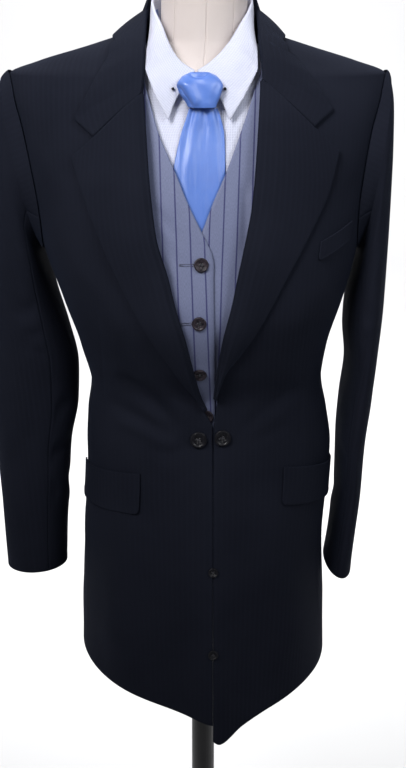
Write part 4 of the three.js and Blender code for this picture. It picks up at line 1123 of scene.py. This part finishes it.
# ---------------------------------------------------------------- shirt
SHIRT_CREASES = [
    ((-40, 1330), (-18, 1230), -1.1, 7, 3),
    ((28, 1325), (16, 1240), -1.0, 7, -3),
    ((-26, 1300), (-30, 1210), 0.9, 6, 2),
]
COLLAR_CREASES = [
    ((-64, 1352), (-36, 1364), -1.3, 5, 2),
    ((-60, 1366), (-42, 1378), -0.9, 4, 2),
    ((-58, 1340), (-44, 1350), 0.8, 4, 0),
    ((64, 1362), (42, 1374), -1.0, 4, -2),
    ((60, 1344), (36, 1358), -1.1, 5, -2),
    ((48, 1330), (30, 1342), -0.6, 5, 0),
]


def shirt_body():
    yoke_z = 1290  # above it the rows close up to the neckline
    v = np.concatenate([np.linspace(0, 1, 60), np.linspace(1, 2, 40)[1:]])[:, None]
    for name, start, end, columns in (
        ("shirt_front_left", -3, 90, 50), ("shirt_front_right", -90, -3, 48), ("shirt_back", 90, 270, 80),
    ):
        degrees = np.linspace(start + SEAM_DEGREES, end - SEAM_DEGREES, columns)
        neck = NECKLINE.at("height", np.abs(np.minimum(degrees, 360 - degrees)))
        z = np.where(v <= 1, mix(INNER_FOOT_Z, yoke_z, v), mix(yoke_z, neck[None, :], v - 1))
        points, n = surface(FORM, degrees[None, :] + 0 * z, z, SHIRT_OUT)
        folds = folds_on(points, SHIRT_CREASES) * (name != "shirt_back")
        shape = (folds + waves(points, 0.3, 101)) * edge_fade(z.shape)
        sew("shirt_cloth", name, points, n, SHIRT_CLOTH, (arc(points), z), shape)


def shirt_collar():
    """Band, fold and leaf in one, with the points pressed flat."""
    share, sign = both_sides(84)
    row = share * 9
    read = lambda name: SHIRT_COLLAR.at(name, row)
    line = lambda name: np.interp(row, SHIRT_COLLAR.key, SHIRT_COLLAR.column(name))
    shift = read("shift")
    fold = np.stack([read("fold_x") * sign + shift, read("fold_y"), read("fold_z")], -1)
    edge = np.stack([line("leaf_x") * sign + line("leaf_shift"), line("leaf_y"), line("leaf_z")], -1)
    away = unit(np.stack([edge[:, 0], edge[:, 1], 20 + 0 * shift], -1))
    leaf = bowed(fold, edge, away, 4)
    length = np.hypot(read("fold_x"), read("fold_y"))
    centre = np.stack([shift, 0 * shift, 0 * shift], -1)
    spoke = (fold - centre) * (1, 1, 0) / length[:, None]
    top = fold - spoke * 2.9 - (0, 0, 0.9)
    foot = fold - spoke * 4.2
    foot[:, 2] = read("band_z")
    crown = (fold * 0.5 + top * 0.5 + (0, 0, 0.7))[:, None]
    outer = np.concatenate([rising(foot, top), crown, leaf], axis=1)
    n = collar_normals(outer, (spoke + (0, 0, 0.2))[:, None], 16)
    size = outer.shape[:2]
    stitch = 0.25 * np.exp(-(((np.arange(size[1]) - (size[1] - 5)) / 0.8) ** 2))[None, :]
    shape = (waves(outer, 0.2, 111) + folds_on(outer, COLLAR_CREASES)) * edge_fade(size, 5, 5)
    shape = shape - stitch * edge_fade(size, 5, 2)
    uv = arc(outer), -run_down(outer)
    sew("shirt_cloth", "shirt_collar", outer, n, SHIRT_COLLAR_CLOTH, uv, shape,
        "shirt_collar_leaf", "shirt_collar_band")


# ---------------------------------------------------------------- tie
KNOT_CREASES = [
    ((-25, 1341), (-10, 1318), -3.0, 3.4, 1),
    ((-17, 1346), (-3, 1321), 1.3, 4.0, 3),
    ((21, 1345), (14, 1320), -0.7, 3.5, -2),
    ((-11, 1352.5), (8, 1352.5), -1.9, 1.3, -2.5),
    ((-4, 1345), (12, 1326), -0.6, 5.0, -3),
]
# place across the blade from -1 to 1, width and depth of the pleats at the knot and further down
KNOT_PLEATS = [(0.1, 0.2, -3.0), (-0.3, 0.22, 1.5), (0.5, 0.2, 1.3), (-0.7, 0.13, -2.8), (0.84, 0.13, -2.4)]
BLADE_PLEATS = [(-0.45, 0.2, 0.7), (0.35, 0.3, -0.6)]


def tie_knot():
    """A four-in-hand knot: one lapped turn of satin, puckered towards the blade."""
    turn_in = np.linspace(0, math.pi / 2, 18)[1:]
    shoulder_z, dome = 1345, 9
    z = np.concatenate([np.linspace(TIE_KNOT.key[0], shoulder_z, 34), shoulder_z + dome * np.sin(turn_in)])
    around = 96
    angle = np.arange(around) / around * 2 * math.pi
    read = lambda name: TIE_KNOT.at(name, z)[:, None]
    x = read("x") + read("half") * power(np.cos(angle), 0.8)
    y = read("y") + read("deep") * power(np.sin(angle), 0.8)
    points = np.stack([x, y, z[:, None] + 0 * x], -1)
    middle = points.mean(axis=1, keepdims=True)
    n = grid_normals(points, points - middle)
    shape = folds_on(points + (3, 0, 0), KNOT_CREASES) * (points[..., 1] < middle[..., 1])
    points = points + n * shape[..., None]
    count = len(z) * around
    faces = grid_faces(len(z), around, True).tolist()
    verts = np.concatenate([points.reshape(-1, 3), [middle[0, 0] - (0, 0, 0.3), middle[-1, 0] + (0, 0, 0.4)]])
    for k in range(around):
        m = (k + 1) % around
        faces += [[m, k, count], [count - around + k, count - around + m, count + 1]]
    uv = np.stack([arc(points) * 0.4, points[..., 2] * 0.6], -1).reshape(-1, 2)
    uv = np.concatenate([uv, uv[:1], uv[-1:]])
    place(mesh_object("tie_knot_satin", verts, faces, LOOKS["tie_knot_satin"], uv), "tie_satin", "tie_knot")


def tie_blade():
    """The blade fans out of the knot in pleats that die out downwards."""
    row = np.linspace(0, 9, 110)
    read = lambda name: TIE_BLADE.at(name, row)[:, None]
    t = np.linspace(-1, 1, 44)[None, :]
    z = read("z") + 0 * t
    x = read("x") + read("half") * t
    points, n = surface(FORM, degrees_at(FORM, x, z), z, read("lift") + 0 * t)
    pleats = lambda folds: sum(depth * np.exp(-(((t - at) / width) ** 2)) for at, width, depth in folds)
    shape = np.exp(-(1312 - z) / 26) * pleats(KNOT_PLEATS)
    shape += smoothstep((1300 - z) / 40) * (1.2 * np.cos(t * math.pi / 2) + pleats(BLADE_PLEATS))
    shape -= 1.1 * np.maximum(0, (t - 0.6) / 0.4) ** 2 + 0.7 * np.maximum(0, (-t - 0.75) / 0.25) ** 2
    shape += waves(points, 0.25, 121)
    sew("tie_satin", "tie_blade", points, n, TIE_CLOTH, (x, z), shape, ending="satin")


# ---------------------------------------------------------------- form and stand
def form_torso():
    """The torso and neck in one, covered in linen, with its panel seams drawn in."""
    shoulder_z, neck_z = 1320, 1386
    z = np.concatenate([
        np.linspace(FORM_BOTTOM_Z, shoulder_z, 110), np.linspace(shoulder_z, neck_z, 44)[1:],
        np.linspace(neck_z, FORM_TOP_Z, 22)[1:],
    ])
    seams = [3, 42, 90, 140, 180, 220, 270, 318]
    close = [s + d for s in seams for d in (-1.5, -1.0, -0.6, -0.3, 0, 0.3, 0.6, 1.0, 1.5)]
    degrees = np.unique(np.concatenate([np.arange(120) * 3.0 + 1.1, close]))
    around = len(degrees)
    deg = degrees[None, :] + 0 * z[:, None]
    zz = z[:, None] + 0 * deg
    groove = sum(np.exp(-((((deg - s + 180) % 360 - 180) / 0.6) ** 2)) for s in seams)
    points, n = surface(FORM, deg, zz)
    points = points - n * (0.9 * groove + 0.15)[..., None]
    count = len(z) * around
    faces = grid_faces(len(z), around, True).tolist()
    # each end is closed by two smaller rings and a point in the middle
    verts = [points.reshape(-1, 3)]
    centres = [points[end].mean(axis=0) for end in (0, -1)]
    for end, centre in zip((0, -1), centres):
        verts += [centre + (points[end] - centre) * k for k in (0.97, 0.5)]
    verts = np.concatenate(verts + [centres])
    low = [0, count, count + around, count + 4 * around]
    high = [count - around, count + 2 * around, count + 3 * around, count + 4 * around + 1]
    for k in range(around):
        m = (k + 1) % around
        for (first, second, third, tip), a, b in ((low, m, k), (high, k, m)):
            faces += [
                [first + a, first + b, second + b, second + a],
                [second + a, second + b, third + b, third + a],
                [third + a, third + b, tip],
            ]
    uv = np.concatenate([np.stack([deg * 2.4, zz], -1).reshape(-1, 2), verts[count:, :2]])
    place(mesh_object("form_linen_torso", verts, faces, LOOKS["form_linen"], uv), "form_linen", "form_torso")


# ---------------------------------------------------------------- buttons and small things
def frame_at(table, x, z, out):
    """A seat on a body for a small thing: its foot, and the directions right, up and outwards."""
    x, z = np.array(float(x)), np.array(float(z))
    foot, n = surface(table, degrees_at(table, x, z), z, out)
    right = unit(np.cross((0, 0, 1.0), n))
    return foot, right, np.cross(n, right), n


BUTTON_PROFILE = [
    # share of the radius, share of the thickness
    (0.86, 0.0), (0.95, 0.12), (1.0, 0.38), (1.0, 0.66), (0.96, 0.88),
    (0.88, 1.0), (0.8, 0.98), (0.72, 0.84), (0.66, 0.7), (0.55, 0.62),
]


def sewn_button(node, slot, radius, thickness, seat, spin):
    """A turned button with a rim, a dished middle, four real holes and its cross of thread."""
    foot, right, up, n = seat
    c, s = math.cos(spin), math.sin(spin)
    right, up = right * c + up * s, up * c - right * s
    segments = 72
    hole_reach, hole_radius = 0.2 * radius * math.sqrt(2), 0.085 * radius
    level, sink = BUTTON_PROFILE[-1][1] * thickness, 0.4 * thickness
    angles = np.arange(segments) / segments * 2 * math.pi
    bm = bmesh.new()

    def ring(size, height, x=0, y=0, step=1):
        around = angles[::step]
        return [bm.verts.new((x + size * math.cos(a), y + size * math.sin(a), height)) for a in around]

    rings = [ring(r * radius, h * thickness) for r, h in BUTTON_PROFILE]
    for low, high in zip(rings, rings[1:]):
        for j in range(segments):
            m = (j + 1) % segments
            bm.faces.new([low[j], low[m], high[m], high[j]])
    bottom = bm.verts.new((0, 0, 0))
    for j in range(segments):
        bm.faces.new([rings[0][(j + 1) % segments], rings[0][j], bottom])
    borders = [rings[-1]]
    for quarter in range(4):
        phi = math.pi / 4 + quarter * math.pi / 2
        x, y = hole_reach * math.cos(phi), hole_reach * math.sin(phi)
        mouth = ring(hole_radius * 1.6, level, x, y, 6)
        deep = ring(hole_radius * 1.3, level - sink, x, y, 6)
        for j in range(len(mouth)):
            m = (j + 1) % len(mouth)
            bm.faces.new([mouth[m], mouth[j], deep[j], deep[m]])
        bm.faces.new(deep)
        borders.append(mouth)
    # the flat middle is filled between the rim and the holes
    edges = [bm.edges.get((loop[j], loop[(j + 1) % len(loop)])) for loop in borders for j in range(len(loop))]
    bmesh.ops.triangle_fill(bm, use_beauty=True, use_dissolve=False, edges=edges)
    bmesh.ops.recalc_face_normals(bm, faces=bm.faces)
    for f in bm.faces:
        f.smooth = True
    mesh = bpy.data.meshes.new(f"{node}_turned")
    bm.to_mesh(mesh)
    bm.free()
    points = np.array([v.co[:] for v in mesh.vertices])
    world = foot + points[:, :1] * right + points[:, 1:2] * up + points[:, 2:] * n
    mesh.vertices.foreach_set("co", (world * MM).astype(np.float32).ravel())
    place(linked(f"{node}_turned", mesh, LOOKS[slot]), slot, node)
    for k, phi in enumerate((math.pi / 4, 3 * math.pi / 4)):
        direction = right * math.cos(phi) + up * math.sin(phi)
        across = np.cross(n, direction)
        for letter, side in (("a", -0.35), ("b", 0.35)):
            path = [foot + direction * t * hole_reach + across * side * hole_radius * 1.6
                    + n * (level + 0.35 + 0.25 * k - 0.9 * abs(t) ** 3) for t in np.linspace(-1, 1, 9)]
            tube(f"{node}_turned_thread_{k}{letter}", path, hole_radius * 0.55, LOOKS["dark_thread"], slot)


def tube(name, path, radius, look, slot, sides=8):
    """A thin round thread along a path of points."""
    path = np.array(path, float)
    along = unit(np.gradient(path, axis=0))
    side = unit(np.cross(along, (0.13, 0.21, 1.0)))
    other = np.cross(along, side)
    angle = np.arange(sides) / sides * 2 * math.pi
    ring = side[:, None] * np.cos(angle)[None, :, None] + other[:, None] * np.sin(angle)[None, :, None]
    verts = (path[:, None] + ring * radius).reshape(-1, 3)
    faces = grid_faces(len(path), sides, True).tolist()
    faces += [list(range(sides))[::-1], list(range((len(path) - 1) * sides, len(path) * sides))]
    place(mesh_object(name, verts, faces, look), slot)


def buttonhole(name, seat, length):
    """A keyhole buttonhole, worked over its cut edge in thread, running away from its button."""
    foot, right, up, n = seat
    steps = 92
    path = []
    for k in range(steps):
        around = k / steps * 2 * math.pi
        a = length / 2 * math.cos(around)
        eye = 1.0 + 0.9 * smoothstep(np.array((a / length * 2 - 0.55) / 0.3))
        b = 1.1 * math.sin(around) / max(0.35, math.sqrt(abs(math.sin(around)) + 0.12)) * float(eye)
        ripple = 0.28 if k % 2 else -0.28
        path.append(foot + right * (-length / 2 + a) + up * (b + ripple * math.copysign(1, b))
                    + n * (0.35 + 0.1 * (k % 2)))
    path.append(path[0])
    tube(name, path, 0.34, LOOKS["vest_thread"], "vest_cloth", sides=6)


def coat_buttons():
    skirt, waist = 0.5, 1.3
    for node, x, z, out, radius, thick, spin in (
        ("link_button_right", -5, 951, waist, 9.5, 3.6, 0.2),
        ("link_button_left", 22, 953, waist, 9.5, 3.6, 0.5),
        ("skirt_button_upper", FRONT_EDGE_X, 804, skirt, 5.6, 2.6, 0.1),
        ("skirt_button_lower", FRONT_EDGE_X, 711, skirt, 5.6, 2.6, 0.7),
    ):
        sewn_button(node, "coat_button", radius, thick, frame_at(COAT, x, z, out), spin)


def vest_buttons():
    for k, (x, z, out) in enumerate(VEST_BUTTONS):
        lie = float(vest_out(x, "right"))
        seat = frame_at(FORM, x, z, lie + out)
        sewn_button(f"vest_button_{k + 1}", "vest_button", 7.8, 3.0, seat, 0.35 * k)
        if k < 3:
            buttonhole(f"vest_buttonhole_{k + 1}", frame_at(FORM, x - 8, z, lie), 15)


def plain_nodes():
    """Looks for the nodes that keep their own shapes."""
    for look, nodes in (
        ("collar_bar", ("collar_bar", "collar_bar_end_right", "collar_bar_end_left")),
        ("stand_metal", ("form_neck_cap", "stand_pole", "stand_base")),
        ("tie_satin", ("tie_loop",)),
    ):
        for node in nodes:
            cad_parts[node].data.materials.clear()
            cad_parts[node].data.materials.append(LOOKS[look])


# each cloth piece's cut as it shows: width and length in mm, area in m2, how it is held, and the
# pieces it hangs from or lies on
SHEETS = """
coat_front_right_cloth 240 900 0.144 hung vest_front_right_cloth
coat_front_left_cloth 230 905 0.138 hung vest_front_left_cloth
coat_side_right_cloth 110 550 0.046 hung coat_front_right_cloth coat_back_right_cloth
coat_side_left_cloth 110 550 0.047 hung coat_front_left_cloth coat_back_left_cloth
coat_back_right_cloth 250 905 0.158 hung vest_back_cloth
coat_back_left_cloth 250 905 0.158 hung vest_back_cloth
lapel_right_cloth 115 380 0.02 folded coat_front_right_cloth
lapel_left_cloth 125 380 0.021 folded coat_front_left_cloth
coat_collar_cloth 120 660 0.0405 folded coat_back_right_cloth coat_back_left_cloth
sleeve_top_right_cloth 340 630 0.108 hung coat_front_right_cloth coat_back_right_cloth
sleeve_under_right_cloth 200 525 0.055 hung sleeve_top_right_cloth
sleeve_top_left_cloth 340 625 0.095 hung coat_front_left_cloth coat_back_left_cloth
sleeve_under_left_cloth 200 520 0.058 hung sleeve_top_left_cloth
pocket_flap_right_cloth 140 48 0.0062 hung coat_front_right_cloth
pocket_flap_left_cloth 156 46 0.0066 hung coat_front_left_cloth
breast_welt_left_cloth 60 23 0.0011 laid coat_front_left_cloth
vest_front_right_cloth 255 625 0.094 hung shirt_front_right_cloth
vest_front_left_cloth 252 620 0.093 hung shirt_front_left_cloth
vest_back_cloth 445 630 0.186 hung shirt_back_cloth
shirt_front_right_cloth 222 606 0.103 hung form_linen_torso
shirt_front_left_cloth 245 600 0.113 hung form_linen_torso
shirt_back_cloth 462 608 0.215 hung form_linen_torso
shirt_collar_cloth 85 525 0.0245 folded form_linen_torso
tie_blade_satin 70 268 0.0142 hung tie_knot_satin
"""


def declare_sheets():
    for row in SHEETS.strip().splitlines():
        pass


# ---------------------------------------------------------------- stage
LIGHTS = [
    # name, place, aim, size, watts, colour, spread in degrees
    ("key", (-0.8, -1.3, 2.6), (0, 0, 1.56), 0.9, 4.9, (1, 0.99, 0.98), 48),
    ("fill", (1.2, -1.4, 2.4), (0, 0, 1.54), 1.0, 2.3, (0.95, 0.98, 1), 48),
    ("backdrop", (0, 1.7, 3.3), (0, 4.2, 0.3), 3.0, 250, (1, 1, 1), 180),
]


def stage():
    """A pale floor that sweeps up into a wall, a faint sky and soft lights, in metres."""
    half, wall, sweep, top = 7, 5.2, 1.4, 3.4
    turn = np.radians(np.linspace(0, 90, 25))
    curve = [(wall - sweep + sweep * math.sin(a), sweep - sweep * math.cos(a)) for a in turn]
    profile = [(-half, 0)] + curve + [(wall, top)]
    mesh = bpy.data.meshes.new("floor")
    mesh.from_pydata([(x, y, z) for y, z in profile for x in (-half, half)], [],
                     [(2 * i, 2 * i + 1, 2 * i + 3, 2 * i + 2) for i in range(len(profile) - 1)])
    mesh.polygons.foreach_set("use_smooth", [True] * len(mesh.polygons))
    s = Shader("floor_paint")
    pale = s.ramp(s.noise(1.5, 3.0), (0.3, (0.66, 0.66, 0.67)), (0.7, (0.7, 0.7, 0.705)))
    linked("floor", mesh, s.set(colour=pale, rough=0.7, specular=0.2))
    world = bpy.data.worlds.new("studio")
    world.use_nodes = True
    colour, strength = world.node_tree.nodes["Background"].inputs[:2]
    colour.default_value = (0.97, 0.98, 1, 1)
    strength.default_value = 0.17
    scene.world = world
    scene.view_settings.view_transform = "Standard"
    for name, where, aim, size, watts, tint, spread_degrees in LIGHTS:
        data = bpy.data.lights.new(name, "AREA")
        data.size = size
        data.energy = watts
        data.color = tint
        data.spread = math.radians(spread_degrees)
        light = bpy.data.objects.new(name, data)
        light.location = where
        light.rotation_euler = Vector(np.subtract(aim, where).tolist()).to_track_quat("-Z", "Y").to_euler()
        scene.collection.objects.link(light)


for wearer in ("right", "left"):
    coat_front(wearer)
    coat_side(wearer)
    coat_back(wearer)
    lapel(wearer)
    sleeve(wearer)
    vest_front(wearer)
for make in (coat_collar, pockets, vest_back, shirt_body, shirt_collar, tie_knot, tie_blade, form_torso,
             coat_buttons, vest_buttons, plain_nodes, declare_sheets, stage):
    make()
